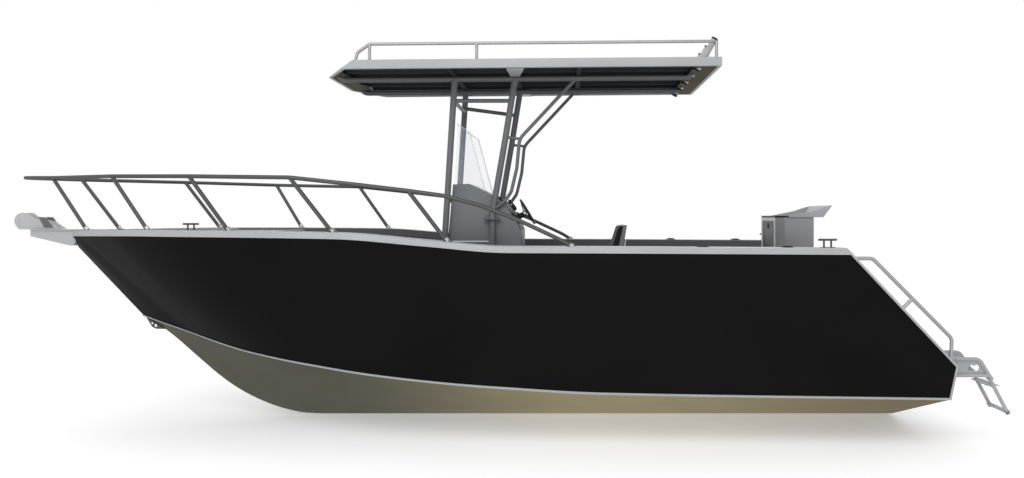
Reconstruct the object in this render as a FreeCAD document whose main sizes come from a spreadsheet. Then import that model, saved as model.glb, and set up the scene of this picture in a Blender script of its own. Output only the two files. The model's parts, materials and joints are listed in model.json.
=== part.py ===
import FreeCAD, Part
import math
import os
import re

import Sketcher
from FreeCAD import Rotation, Vector

# Centre console boat of welded plate alloy, in millimetres.
# +X points aft, +Y to starboard and +Z up. The origin is amidships, on the centreline, at the waterline.
# Every height below is measured up from the keel line, and the whole boat is set down by its draft at the end.

os.makedirs("parts", exist_ok=True)
doc = FreeCAD.newDocument("CentreConsoleBoat")
sizes = doc.addObject("Spreadsheet::Sheet", "Sizes")

sizeRows = (
    # name, value, what it is
    ("draft", 330, "keel line to waterline"),
    ("hullLength", 6866, "stem to the transom's upper corner"),
    ("hullBeam", 2400, "across the gunwales"),
    ("hullDepth", 1411, "keel line to the aft gunwale"),
    ("sideWall", 24, "topside panel with its stringers"),
    ("bottomWall", 24, "bottom plating with its stringers"),
    ("chineDepth", 16, "height of the chine extrusion"),
    ("chineProud", 8, "chine extrusion outside the topside"),
    ("stripDepth", 47, "outer face of the gunwale"),
    ("stripProud", 4, "gunwale outside the topside"),
    ("gunwalePlate", 20, "gunwale deck thickness"),
    ("gunwaleLip", 60, "inner lip of the gunwale"),
    ("linerWall", 20, "coaming liner thickness"),
    ("trimPlate", 16, "edging of the raked side ends"),
    ("transomFoot", 3337, "transom's outer face at the keel line"),
    ("transomRake", 0.17, "lean of the transom, aft per height"),
    ("transomWall", 30, "transom thickness"),
    ("slopeTopX", 2654, "upper end of the side's raked edge"),
    ("slopeTopHeight", 1361, "its height"),
    ("slopeFootX", 3431, "lower end of the side's raked edge"),
    ("slopeFootHeight", 556, "its height"),
    ("swimDeckHeight", 550, "top of the swim platform"),
    ("deckPlate", 20, "foredeck and platform thickness"),
    ("soleHeight", 680, "top of the cockpit sole"),
    ("solePlate", 30, "sole thickness"),
    ("foredeckHeight", 1515, "top of the foredeck"),
    ("foredeckAft", -1800, "aft edge of the foredeck"),
    ("bulkheadWall", 40, "both bulkheads' thickness"),
    ("bulkheadAft", 2640, "aft face of the aft bulkhead"),
    ("bulkheadTop", 1375, "top of the aft bulkhead"),
    ("lidGap", 5, "clearance round lids and doors"),
    ("lidSeat", 0.3, "rest clearance under lids and doors"),
    ("lidLedge", 15, "ledge that a lid or door rests on"),
    ("lidPlate", 12, "lid and door thickness"),
    ("lockerFore", -2330, "anchor locker lid, fore edge"),
    ("lockerAft", -1930, "anchor locker lid, hinged aft edge"),
    ("lockerHalf", 230, "anchor locker lid, half width"),
    ("hatchFore", 1400, "sole hatch lid, hinged fore edge"),
    ("hatchAft", 1850, "sole hatch lid, aft edge"),
    ("hatchHalf", 240, "sole hatch lid, half width"),
    ("gateOuter", 965, "transom gate, hinged edge from the centreline"),
    ("gateInner", 545, "transom gate, free edge from the centreline"),
    ("gateFoot", 730, "bottom of the gate"),
    ("gatePlate", 20, "gate thickness"),
    ("boardHalf", 260, "engine board, half width"),
    ("boardTop", 660, "engine board, top"),
    ("boardFoot", 360, "engine board, bottom"),
    ("boardPlate", 45, "engine board thickness"),
    ("engineBoltRadius", 6.5, "engine bolt hole"),
    ("upperBoltSpan", 327.6, "upper engine bolts, across"),
    ("lowerBoltSpan", 250.8, "lower engine bolts, across"),
    ("upperBoltDrop", 50, "board top to the upper bolts"),
    ("boltRise", 203.2, "lower bolts to the upper bolts"),
    ("railRadius", 15, "bow rail tube"),
    ("railBend", 400, "bends of the bow rail"),
    ("railInset", 36, "stanchion feet inside the gunwale's edge"),
    ("sternRailRadius", 13.5, "stern rail tube"),
    ("sternRailBend", 55, "bends of the stern rail"),
    ("spritFore", -3773, "fore end of the bowsprit"),
    ("spritTop", 1522, "top of the bowsprit's beam"),
    ("spritNose", 51, "depth of the beam's fore end"),
    ("spritRoot", 127, "depth of the beam at the stem"),
    ("spritHalf", 75, "half width of the beam"),
    ("spritPlate", 6, "plate on the beam"),
    ("spritPlateHalf", 100, "half width of that plate"),
    ("spritPlateAft", -3130, "aft end of that plate"),
    ("cheekGap", 90, "between the roller cheeks"),
    ("cheekPlate", 8, "roller cheek thickness"),
    ("rollerX", -3886, "bow roller's centre"),
    ("rollerHeight", 1604, "its height"),
    ("rollerRadius", 34, "bow roller's rim"),
    ("rollerWaist", 20, "bow roller's waist"),
    ("rollerSide", 5, "clearance beside the roller"),
    ("rollerPinRadius", 10, "roller pin"),
    ("rollerFit", 0.1, "running clearance on the pin"),
    ("eyePlate", 12, "bow eye plate thickness"),
    ("eyeRadius", 12, "lower hole of the bow eye"),
    ("eyeSmallRadius", 9, "upper hole of the bow eye"),
    ("cleatSpan", 138, "cleat, horn to horn"),
    ("cleatHornRadius", 8, "cleat horn"),
    ("cleatLegSpan", 52, "between a cleat's legs"),
    ("cleatRise", 57, "deck to the horn's centre"),
    ("cleatFoot", 5, "cleat foot thickness"),
    ("roofFore", -1240, "roof's front edge"),
    ("roofAft", 1790, "roof's aft edge"),
    ("roofHalf", 886, "roof's half width"),
    ("roofNoseHalf", 415, "half width of the front edge"),
    ("roofNoseLength", 210, "length of the angled front corners"),
    ("roofHeight", 2726, "underside at the front edge"),
    ("roofRise", 26, "rise from the front edge to the aft edge"),
    ("fasciaHeight", 68, "roof edge depth"),
    ("fasciaWall", 30, "roof edge width"),
    ("fasciaLean", 82, "set back of the front edge's top"),
    ("roofSkin", 12, "roof sheet"),
    ("roofBeam", 16, "depth of the cross beams"),
    ("beamWidth", 36, "width of the cross beams"),
    ("nosePanel", 170, "closed panel behind the front edge"),
    ("aftPanel", 200, "closed panel before the aft edge"),
    ("panelPlate", 6, "thickness of both closed panels"),
    ("ribWidth", 56, "wide roof ribs"),
    ("slimRibWidth", 24, "slim roof ribs"),
    ("roofRailRadius", 12, "roof rail tube"),
    ("roofRailRise", 122, "roof top to the roof rail"),
    ("roofRailHalf", 840, "roof rail from the centreline"),
    ("holderRadius", 24, "rod holder, outside"),
    ("holderBore", 21, "rod holder, inside"),
    ("holderLean", 30, "roof rod holders' lean, degrees"),
    ("holderLength", 285, "roof rod holder, end to end"),
    ("holderPitch", 380, "between roof rod holders"),
    ("legRadius", 25, "roof leg tube"),
    ("strutRadius", 14, "roof strut tube"),
    ("braceRadius", 16, "roof brace tube"),
    ("runnerRadius", 20, "tubes under the roof that the legs carry"),
    ("runnerFore", -1165, "fore end of those tubes"),
    ("runnerAft", 1640, "their aft end"),
    ("runnerTurn", 45, "length of their upturned ends"),
    ("legBend", 120, "bends of the roof legs"),
    ("legClear", 0.3, "legs clear of the console, and their runners of the roof"),
    ("consoleHalf", 400, "console's half width"),
    ("consoleWall", 20, "console wall"),
    ("doorFore", -262, "console door, hinged fore edge"),
    ("doorAft", 8, "console door, aft edge"),
    ("doorFoot", 780, "console door, bottom"),
    ("doorTop", 1340, "console door, top"),
    ("doorPlate", 10, "console and bait door thickness"),
    ("glassPlate", 6, "windscreen thickness"),
    ("wheelRadius", 112, "steering wheel rim, middle of the grip"),
    ("wheelGrip", 8, "steering wheel grip"),
    ("wheelTilt", 31, "steering wheel's lean, degrees"),
    ("wheelStandoff", 107, "console face to the wheel"),
    ("hubRadius", 38, "steering wheel hub"),
    ("shaftRadius", 12, "steering shaft"),
    ("shaftFit", 0.1, "running clearance of the shaft"),
    ("seatFore", 640, "helm seat base, fore face"),
    ("seatAft", 1060, "helm seat base, aft face"),
    ("seatHalf", 290, "helm seat base, half width"),
    ("seatHeight", 1170, "top of the seat base"),
    ("cushionDepth", 95, "seat cushion"),
    ("cushionHalf", 280, "seat cushion, half width"),
    ("softGap", 0.3, "soft parts clear of their seats"),
    ("backHalf", 270, "backrest, half width"),
    ("baitFore", 2310, "bait cabinet, fore face"),
    ("baitHalf", 360, "bait cabinet, half width"),
    ("baitCorner", 80, "bait cabinet, cut corners"),
    ("baitHeight", 1628, "top of the bait cabinet"),
    ("baitWall", 20, "bait cabinet wall"),
    ("baitDoorHalf", 225, "bait door, half width"),
    ("baitDoorFoot", 1150, "bait door, bottom"),
    ("baitDoorTop", 1598, "bait door, top"),
    ("baitBoard", 12, "bait board thickness"),
    ("boardReach", 2672, "aft end of the bait board"),
    ("lipReach", 2745, "tip of the bait board's lip"),
    ("lipHeight", 1723, "top of the bait board's lip"),
    ("lipPlate", 8, "bait board's lip thickness"),
    ("ladderY", -800, "boarding ladder's middle"),
    ("ladderHalf", 150, "ladder stile from its middle"),
    ("ladderRadius", 14, "ladder tubes"),
    ("ladderPinX", 3737, "ladder pivot"),
    ("ladderPinHeight", 454, "ladder pivot height"),
    ("ladderPinRadius", 8, "ladder pin"),
    ("ladderPinFit", 0.1, "running clearance on the ladder pin"),
    ("bracketPlate", 8, "boarding bracket plates"),
    ("deckHolderLean", 20, "gunwale rod holders' lean, degrees"),
    ("deckHolderDepth", 230, "gunwale rod holder below the deck"),
    ("deckHolderFlange", 44, "gunwale rod holder flange radius"),
    ("deckHolderY", 1098, "gunwale rod holders from the centreline"),
)

sizeNames = []
for rowNumber, (name, amount, note) in enumerate(sizeRows, start=1):
    sizes.set("A%d" % rowNumber, note)
    sizes.set("B%d" % rowNumber, str(amount))
    sizes.setAlias("B%d" % rowNumber, name)
    sizeNames.append(name)
doc.recompute()


def size(name):
    return float(sizes.get(name))


def bound(text):
    """The expression text with each size name pointed at its cell."""
    return re.sub(r"[A-Za-z]\w*", lambda word: "Sizes." + word.group(0) if word.group(0) in sizeNames
                  else word.group(0), str(text))


def worth(text):
    return float(sizes.evalExpression(bound(text)))


nodes = {}


def keep(label, made, place=("0", "0", "0")):
    """Names a finished sub-part and sets it down by the draft, at its place."""
    made.Label = label
    for axis, text in zip("xyz", (place[0], place[1], "%s - draft" % place[2])):
        made.setExpression("Placement.Base." + axis, bound(text))
    nodes[label] = made
    doc.recompute()
    return made


def keelShape(label):
    """A kept sub-part's shape with heights from the keel line."""
    return nodes[label].Shape.translated(Vector(0, 0, size("draft")))


def feature(label, shape):
    """A sub-part worked out with shape functions, from the named sizes."""
    made = doc.addObject("Part::Feature", label)
    made.Shape = shape
    return keep(label, made)


def sketchOn(body, name, plane, outline):
    """A closed sketch whose corners, or circle, are bound to the sizes."""
    sketch = body.newObject("Sketcher::SketchObject", name)
    support = [piece for piece in body.Origin.OriginFeatures if piece.Role == plane][0]
    sketch.AttachmentSupport = (support, [""])
    sketch.MapMode = "FlatFace"
    constraints = []
    if outline[0] == "circle":
        across, up, radius = outline[1:]
        circle = Part.Circle(Vector(worth(across), worth(up), 0), Vector(0, 0, 1), worth(radius))
        sketch.addGeometry(circle, False)
        constraints = [("DistanceX", 0, 3, across), ("DistanceY", 0, 3, up)]
        ring = sketch.addConstraint(Sketcher.Constraint("Radius", 0, worth(radius)))
        sketch.setExpression("Constraints[%d]" % ring, bound(radius))
    else:
        corners = [Vector(worth(across), worth(up), 0) for across, up in outline]
        count = len(corners)
        for corner in range(count):
            sketch.addGeometry(Part.LineSegment(corners[corner], corners[(corner + 1) % count]), False)
        for corner in range(count):
            sketch.addConstraint(Sketcher.Constraint("Coincident", corner, 2, (corner + 1) % count, 1))
        for corner, (across, up) in enumerate(outline):
            constraints += [("DistanceX", corner, 1, across), ("DistanceY", corner, 1, up)]
    for kind, part, end, text in constraints:
        held = sketch.addConstraint(Sketcher.Constraint(kind, -1, 1, part, end, worth(text)))
        sketch.setExpression("Constraints[%d]" % held, bound(text))
    return sketch


def padded(label, plane, outline, length, cuts=(), place=("0", "0", "0"), middle=True, turned=False):
    """A body padded from an outline, with cuts given as (plane, outline, length, turned)."""
    body = doc.addObject("PartDesign::Body", label + "_body")
    pad = body.newObject("PartDesign::Pad", "Pad")
    pad.Profile = sketchOn(body, "Outline", plane, outline)
    pad.setExpression("Length", bound(length))
    pad.SideType = "Symmetric" if middle else "One side"
    pad.Reversed = turned
    body.Tip = pad
    doc.recompute()
    for cutPlane, cutOutline, cutLength, cutTurned in cuts:
        before = body.Shape.Volume
        pocket = body.newObject("PartDesign::Pocket", "Cut")
        pocket.Profile = sketchOn(body, "CutOutline", cutPlane, cutOutline)
        if cutLength is None:
            pocket.Type = "ThroughAll"
            pocket.SideType = "Symmetric"
        elif cutTurned is None:
            pocket.SideType = "Symmetric"
            pocket.setExpression("Length", bound(cutLength))
        else:
            pocket.Reversed = cutTurned
            pocket.setExpression("Length", bound(cutLength))
        body.Tip = pocket
        doc.recompute()
        if body.Shape.Volume > before - 1:
            raise ValueError("a cut in %s removed nothing" % label)
    return keep(label, body, place)


def twin(port):
    """The starboard twin of a port shape."""
    return port.mirror(Vector(0, 0, 0), Vector(0, 1, 0))


def paired(port):
    """A port shape and its twin, apart."""
    return Part.makeCompound([port, twin(port)])


def joined(port):
    """A port shape and its twin, which meet at the centreline, as one solid."""
    return largest(port.fuse(twin(port)).removeSplitter())


def prism(outline, low, high):
    """A solid between two Y values whose outline is given as (x, height)."""
    corners = [Vector(x, low, height) for x, height in outline]
    face = Part.Face(Part.makePolygon(corners + corners[:1]))
    return face.extrude(Vector(0, high - low, 0))


def slab(lowX, highX, half, lowHeight, highHeight):
    return Part.makeBox(highX - lowX, 2 * half, highHeight - lowHeight, Vector(lowX, -half, lowHeight))


def insideOf(block, walls, point):
    """The piece of a block that lies within the walls, found by a point in it."""
    pieces = block.cut(walls).Solids
    found = [piece for piece in pieces if piece.isInside(point, 0.01, False)]
    return found[0]


def largest(shape):
    return max(shape.Solids, key=lambda piece: piece.Volume)


def tube(points, radius, bend):
    """A round bar along straight runs that tangent arcs join."""
    edges = []
    start = points[0]
    for before, corner, after in zip(points, points[1:], points[2:]):
        arriving = (corner - before).normalize()
        leaving = (after - corner).normalize()
        halfTurn = arriving.getAngle(leaving) / 2
        room = 0.45 * min((corner - before).Length, (after - corner).Length)
        reach = min(bend * math.tan(halfTurn), room)
        if reach < 0.01:
            continue
        arcRadius = reach / math.tan(halfTurn)
        inward = (leaving - arriving).normalize()
        arcStart = corner - arriving * reach
        arcEnd = corner + leaving * reach
        middle = corner + inward * (arcRadius / math.cos(halfTurn) - arcRadius)
        edges.append(Part.LineSegment(start, arcStart).toShape())
        edges.append(Part.Arc(arcStart, middle, arcEnd).toShape())
        start = arcEnd
    edges.append(Part.LineSegment(start, points[-1]).toShape())
    path = Part.Wire(edges)
    heading = (points[1] - points[0]).normalize()
    ring = Part.Wire([Part.Circle(points[0], heading, radius).toShape()])
    bar = Part.Wire(path).makePipeShell([ring], True, False, 2)
    expected = math.pi * radius ** 2 * path.Length
    if abs(bar.Volume - expected) > 0.02 * expected:
        raise ValueError("a tube's volume is off")
    return bar


def rod(start, end, radius):
    return Part.makeCylinder(radius, (end - start).Length, start, end - start)


# Hull lines, as drawn for the hull length, beam and depth in drawnHull. Half breadths are from the
# centreline and heights from the keel line. The knuckle is how far the stem stands forward of a
# straight line, and the liner's foot is how far it stands inside the gunwale's edge.
drawnHull = (6866, 2400, 1411)
stationTable = (
    # chine X, half, height, keel height, sheer X, half, height, knuckle, gunwale width, liner foot
    (-2868, 0, 808, 808, -3435, 0, 1519, 59, 45, 0),
    (-2692, 100, 769, 700, -3410, 100, 1520, 30, 45, 0),
    (-2393, 250, 703, 447, -3260, 270, 1523, 0, 45, 0),
    (-2234, 345, 668, 313, -3060, 450, 1527, 0, 45, 0),
    (-2065, 438, 631, 197, -2810, 650, 1531, 0, 50, 0),
    (-1875, 535, 593, 102, -2560, 790, 1533, 0, 60, 0),
    (-1704, 615, 567, 42, -2260, 915, 1532, 0, 95, 0),
    (-1514, 692, 540, 6, -1960, 1000, 1531, 0, 145, 540),
    (-1344, 755, 519, 0, -1660, 1065, 1529, 0, 190, 430),
    (-744, 930, 454, 0, -1030, 1155, 1521, 0, 190, 300),
    (-138, 1020, 405, 0, -380, 1184, 1470, 0, 190, 215),
    (200, 1045, 384, 0, 215, 1200, 1424, 0, 190, 200),
    (878, 1070, 350, 0, 874, 1200, 1421, 0, 190, 195),
    (3451, 1090, 313, 0, 3500, 1200, 1406, 0, 190, 195),
)
kneeShare = 0.88
lengthScale = size("hullLength") / drawnHull[0]
beamScale = size("hullBeam") / drawnHull[1]
depthScale = size("hullDepth") / drawnHull[2]


class Station:
    """One frame of the port side."""

    def __init__(self, row):
        chineX, chineHalf, chineHeight, keelHeight, sheerX, sheerHalf, sheerHeight = row[:7]
        knuckle, self.rim, self.linerFoot = row[7:]
        self.chine = Vector(chineX * lengthScale, -chineHalf * beamScale, chineHeight * depthScale)
        self.keel = Vector(chineX * lengthScale, 0, keelHeight * depthScale)
        self.sheer = Vector(sheerX * lengthScale, -sheerHalf * beamScale, sheerHeight * depthScale)
        self.top = self.sheer - Vector(0, 0, size("stripDepth"))
        self.knee = self.chine + (self.top - self.chine) * kneeShare - Vector(knuckle, 0, 0)


stations = [Station(row) for row in stationTable]


def setInward():
    """Each frame's mitred inward direction, from the run of the gunwale in plan."""
    normals = []
    for station, after in zip(stations, stations[1:]):
        run = after.sheer - station.sheer
        normals.append(Vector(-run.y, run.x, 0).normalize())
    stations[0].inward = Vector(1 / normals[0].x, 0, 0)
    for station, before, after in zip(stations[1:-1], normals, normals[1:]):
        station.inward = (before + after) * (1 / (1 + before.dot(after)))
    stations[-1].inward = Vector(0, 1 / normals[-1].y, 0)


setInward()


def sheerAt(x):
    """The gunwale's outer upper edge at x, as (half breadth, height)."""
    for station, after in zip(stations, stations[1:]):
        if station.sheer.x <= x <= after.sheer.x:
            share = (x - station.sheer.x) / (after.sheer.x - station.sheer.x)
            point = station.sheer + (after.sheer - station.sheer) * share
            return -point.y, point.z
    raise ValueError("no gunwale at %g" % x)


def loftAlong(frames, section):
    """A ruled solid through one closed outline at each frame."""
    wires = []
    for station in frames:
        corners = section(station)
        wires.append(Part.makePolygon(corners + corners[:1]))
    return Part.makeLoft(wires, True, True)


wide = size("hullBeam")
tall = 2 * size("hullDepth")


def transomX(height, forward=0):
    """The transom's outer face, or a plane that far forward of it."""
    return size("transomFoot") + size("transomRake") * height - forward


def behindTransom(forward=0):
    """Everything aft of the transom's outer face, or of a plane forward of it."""
    far = size("hullLength")
    return prism([(transomX(-tall, forward), -tall), (far, -tall), (far, tall),
                  (transomX(tall, forward), tall)], -wide, wide)


def slopeLine(offset):
    """Two points of the side's raked edge, moved outwards by the offset."""
    upper = Vector(size("slopeTopX"), 0, size("slopeTopHeight"))
    lower = Vector(size("slopeFootX"), 0, size("slopeFootHeight"))
    run = (lower - upper).normalize()
    outward = Vector(-run.z, 0, run.x)
    return upper + outward * offset, lower + outward * offset, run


def aboveSlope(offset=0):
    """Everything above and aft of the side's raked edge."""
    upper, lower, run = slopeLine(offset)
    start = upper - run * 400
    end = lower + run * 400
    far = size("hullLength")
    return prism([(start.x, start.z), (far, start.z), (far, end.z), (end.x, end.z)], -wide, wide)


# Hull plating
def sideSection(outer, inner):
    def section(station):
        edge = [station.chine, station.knee, station.top]
        return ([point + station.inward * outer for point in edge]
                + [point + station.inward * inner for point in reversed(edge)])
    return section


def makeTopside():
    panel = loftAlong(stations, sideSection(0, size("sideWall")))
    return panel.cut([behindTransom(), aboveSlope()])


def bottomSection(station):
    rise = station.chine.z - station.keel.z
    half = -station.chine.y
    upright = size("bottomWall") * math.hypot(rise, half) / half
    inner = half * (1 - upright / rise)
    x = station.chine.x
    return [station.keel, Vector(x, -half, station.chine.z), Vector(x, -inner, station.chine.z),
            station.keel + Vector(0, 0, upright), Vector(x, inner, station.chine.z),
            Vector(x, half, station.chine.z)]


def makeBottom():
    plating = loftAlong(stations[1:], bottomSection)
    stem = stations[0].chine
    first = stations[1]
    port = first.chine
    starboard = Vector(port.x, -port.y, port.z)
    triangle = Part.makePolygon([first.keel, port, starboard, first.keel])
    forefoot = Part.makeLoft([Part.Vertex(stem), triangle], True, True)
    return plating.fuse(forefoot).removeSplitter().cut(behindTransom())


def chineSection(station):
    rising = (station.knee - station.chine).normalize() * size("chineDepth")
    outward = station.inward * -size("chineProud")
    behind = station.inward * (size("sideWall") / 4)
    return [station.chine + behind, station.chine + rising + behind, station.chine + rising + outward,
            station.chine + outward]


def makeChines():
    """The strip along the chine, cut to the topside that it lies on."""
    strip = loftAlong(stations, chineSection).cut(behindTransom(-size("trimPlate")))
    return joined(largest(strip.cut(keelShape("topsides"))))


feature("hull_bottom", makeBottom())
feature("topsides", joined(makeTopside()))
feature("chine_strip", makeChines())


# Gunwales, coaming liners and the edging of the raked side ends
def gunwaleSection(station):
    depth, lip, plate = size("stripDepth"), size("gunwaleLip"), size("gunwalePlate")
    wall, proud, rim = size("sideWall"), size("stripProud"), station.rim
    profile = ((-proud, -depth), (-proud, 0), (rim, 0), (rim, -lip), (rim - plate, -lip), (rim - plate, -plate),
               (wall, -plate), (wall, -depth))
    return [station.sheer + station.inward * across + Vector(0, 0, up) for across, up in profile]


def narrowGunwaleSection(station):
    depth, plate = size("stripDepth"), size("gunwalePlate")
    profile = ((-size("stripProud"), -depth), (-size("stripProud"), 0), (station.rim, 0), (station.rim, -plate),
               (size("sideWall"), -plate), (size("sideWall"), -depth))
    return [station.sheer + station.inward * across + Vector(0, 0, up) for across, up in profile]


rimStart = 6


def makeGunwale():
    fore = loftAlong(stations[:rimStart + 1], narrowGunwaleSection)
    aft = loftAlong(stations[rimStart:], gunwaleSection)
    rail = fore.fuse(aft).removeSplitter()
    return rail.cut(aboveSlope(size("trimPlate")))


linerStart = 7


def linerSection(station):
    plate = size("linerWall")
    top = station.sheer - Vector(0, 0, size("gunwaleLip"))
    foot = Vector(station.sheer.x, station.sheer.y, size("soleHeight"))
    return [top + station.inward * station.rim, top + station.inward * (station.rim - plate),
            foot + station.inward * (station.linerFoot - plate), foot + station.inward * station.linerFoot]


def makeLiner():
    liner = loftAlong(stations[linerStart:], linerSection)
    far = size("hullLength")
    foreEnd = slab(-far, size("foredeckAft") + size("bulkheadWall"), wide, 0, tall)
    aftEnd = slab(size("bulkheadAft") - size("bulkheadWall"), far, wide, 0, tall)
    return liner.cut([foreEnd, aftEnd])


def makeEdging():
    thick = size("trimPlate")
    band = loftAlong(stations, sideSection(-size("stripProud"), size("sideWall") + 2 * size("stripProud")))
    lip = band.common(aboveSlope()).cut([aboveSlope(thick), behindTransom(-thick)])
    upright = band.common(behindTransom()).cut([behindTransom(-thick), aboveSlope(thick)])
    chineTop = stations[-1].chine.z + size("chineDepth")
    below = slab(0, size("hullLength"), wide, -tall, chineTop)
    carriers = [below, keelShape("gunwales"), keelShape("chine_strip")]
    return largest(lip.fuse(upright).removeSplitter().cut(carriers))


feature("gunwales", joined(makeGunwale()))
feature("coaming_liners", paired(makeLiner()))
feature("stern_edgings", paired(makeEdging()))

hullWalls = [keelShape(label) for label in ("hull_bottom", "topsides", "gunwales")]
edgings = [keelShape("stern_edgings")]


# Decks and bulkheads
def recess(lowX, highX, lowY, highY, top, plate):
    """A rebate for a lid, with the smaller opening below its ledge."""
    gap, ledge = size("lidGap"), size("lidLedge")
    seat = top - plate - size("lidSeat")
    upper = Part.makeBox(highX - lowX + 2 * gap, highY - lowY + 2 * gap, plate + size("lidSeat") + 1,
                         Vector(lowX - gap, lowY - gap, seat))
    lower = Part.makeBox(highX - lowX - 2 * ledge, highY - lowY - 2 * ledge, 200,
                         Vector(lowX + ledge, lowY + ledge, seat - 199))
    return upper.fuse(lower)


def makeForedeck():
    top = size("foredeckHeight")
    deck = slab(-size("hullLength") / 2, size("foredeckAft"), wide / 2, top - size("deckPlate"), top)
    deck = insideOf(deck, hullWalls, Vector(size("foredeckAft") - 60, 0, top - size("deckPlate") / 2))
    deck = largest(deck.fuse(makeForeBulkhead()).removeSplitter())
    return deck.cut(recess(size("lockerFore"), size("lockerAft"), -size("lockerHalf"), size("lockerHalf"),
                           top, size("lidPlate")))


def makeForeBulkhead():
    low, high = size("soleHeight"), size("foredeckHeight")
    wall = size("bulkheadWall")
    block = slab(size("foredeckAft"), size("foredeckAft") + wall, wide / 2, low, high)
    return insideOf(block, hullWalls, Vector(size("foredeckAft") + wall / 2, 0, (low + high) / 2))


def makeSole():
    top = size("soleHeight")
    block = slab(size("foredeckAft"), size("bulkheadAft") - size("bulkheadWall"), wide / 2,
                 top - size("solePlate"), top)
    sole = insideOf(block, hullWalls, Vector(0, 0, top - size("solePlate") / 2))
    return sole.cut(recess(size("hatchFore"), size("hatchAft"), -size("hatchHalf"), size("hatchHalf"),
                           top, size("lidPlate")))


def makeAftBulkhead():
    wall, aft = size("bulkheadWall"), size("bulkheadAft")
    low, high = size("swimDeckHeight") - size("deckPlate"), size("bulkheadTop")
    block = slab(aft - wall, aft, wide / 2, low, high)
    inside = insideOf(block, hullWalls + edgings, Vector(aft - wall / 2, 0, (low + high) / 2))
    gap, ledge, plate = size("lidGap"), size("lidLedge"), size("gatePlate") + size("lidSeat")
    outer, inner, foot = size("gateOuter"), size("gateInner"), size("gateFoot")
    rebate = Part.makeBox(plate, outer - inner + 2 * gap, high - foot + gap,
                          Vector(aft - plate, -outer - gap, foot - gap))
    through = Part.makeBox(wall, outer - inner - 2 * ledge, high - foot - ledge,
                           Vector(aft - wall, -outer + ledge, foot + ledge))
    return inside.cut([rebate, through])


def makeTransom():
    wall, top = size("transomWall"), size("swimDeckHeight")
    block = prism([(transomX(-60, wall), -60), (transomX(-60), -60), (transomX(top), top),
                   (transomX(top, wall), top)], -wide / 2, wide / 2)
    return insideOf(block, hullWalls + edgings, Vector(transomX(top / 2, wall / 2), 0, top / 2))


def makeSwimDeck():
    wall, top, aft = size("transomWall"), size("swimDeckHeight"), size("bulkheadAft")
    low = top - size("deckPlate")
    block = prism([(aft, low), (transomX(low, wall), low), (transomX(top, wall), top), (aft, top)],
                  -wide / 2, wide / 2)
    return insideOf(block, hullWalls + edgings, Vector((aft + transomX(top, wall)) / 2, 0, (low + top) / 2))


feature("foredeck", makeForedeck())
feature("cockpit_sole", makeSole())
feature("aft_bulkhead", makeAftBulkhead())
feature("transom_plate", makeTransom())
feature("swim_platform", makeSwimDeck())

# Lids and the gate, each hinged along one upper edge
padded("anchor_locker_lid", "XY_Plane",
       [("lockerFore", "-lockerHalf"), ("lockerAft", "-lockerHalf"), ("lockerAft", "lockerHalf"),
        ("lockerFore", "lockerHalf")],
       "lidPlate", place=("0", "0", "foredeckHeight - lidPlate"), middle=False)
padded("sole_hatch_lid", "XY_Plane",
       [("hatchFore", "-hatchHalf"), ("hatchAft", "-hatchHalf"), ("hatchAft", "hatchHalf"),
        ("hatchFore", "hatchHalf")],
       "lidPlate", place=("0", "0", "soleHeight - lidPlate"), middle=False)
padded("transom_gate", "YZ_Plane",
       [("-gateOuter", "gateFoot"), ("-gateInner", "gateFoot"), ("-gateInner", "bulkheadTop"),
        ("-gateOuter", "bulkheadTop")],
       "gatePlate", place=("bulkheadAft - gatePlate", "0", "0"), middle=False)


# Engine board on the transom, square to its rake
def makeEngineBoard():
    plate, top, foot, half = size("boardPlate"), size("boardTop"), size("boardFoot"), size("boardHalf")
    board = prism([(transomX(foot), foot), (transomX(top), top), (transomX(top, -plate), top),
                   (transomX(foot, -plate), foot)], -half, half)
    return board.cut(engineBolts())


def engineBolts():
    """The four bolt holes, square to the transom's face."""
    outward = Vector(1, 0, -size("transomRake")).normalize()
    holes = []
    for span, drop in (("upperBoltSpan", 0), ("lowerBoltSpan", size("boltRise"))):
        height = size("boardTop") - size("upperBoltDrop") - drop * outward.x
        for side in (-1, 1):
            centre = Vector(transomX(height), side * size(span) / 2, height)
            holes.append(rod(centre - outward * 200, centre + outward * 200, size("engineBoltRadius")))
    return holes


feature("engine_board", makeEngineBoard())
boredTransom = keelShape("transom_plate").cut(engineBolts())
nodes["transom_plate"].Shape = boredTransom
keep("transom_plate", nodes["transom_plate"])


# Bow fittings
def makeBowsprit():
    fore, top = size("spritFore"), size("spritTop")
    stem = stations[0].sheer.x
    plateTop = top + size("spritPlate")
    beam = prism([(fore, top - size("spritNose")), (fore, top), (stem + 60, top), (stem + 60, top - 20),
                  (stem + 20, top - size("spritRoot")), (stem - 13, top - size("spritRoot"))], -size("spritHalf"), size("spritHalf"))
    plate = slab(fore, size("spritPlateAft"), size("spritPlateHalf"), top, plateTop)
    walls = hullWalls + [keelShape("foredeck")]
    return largest(beam.fuse(plate).removeSplitter().cut(walls))


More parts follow.
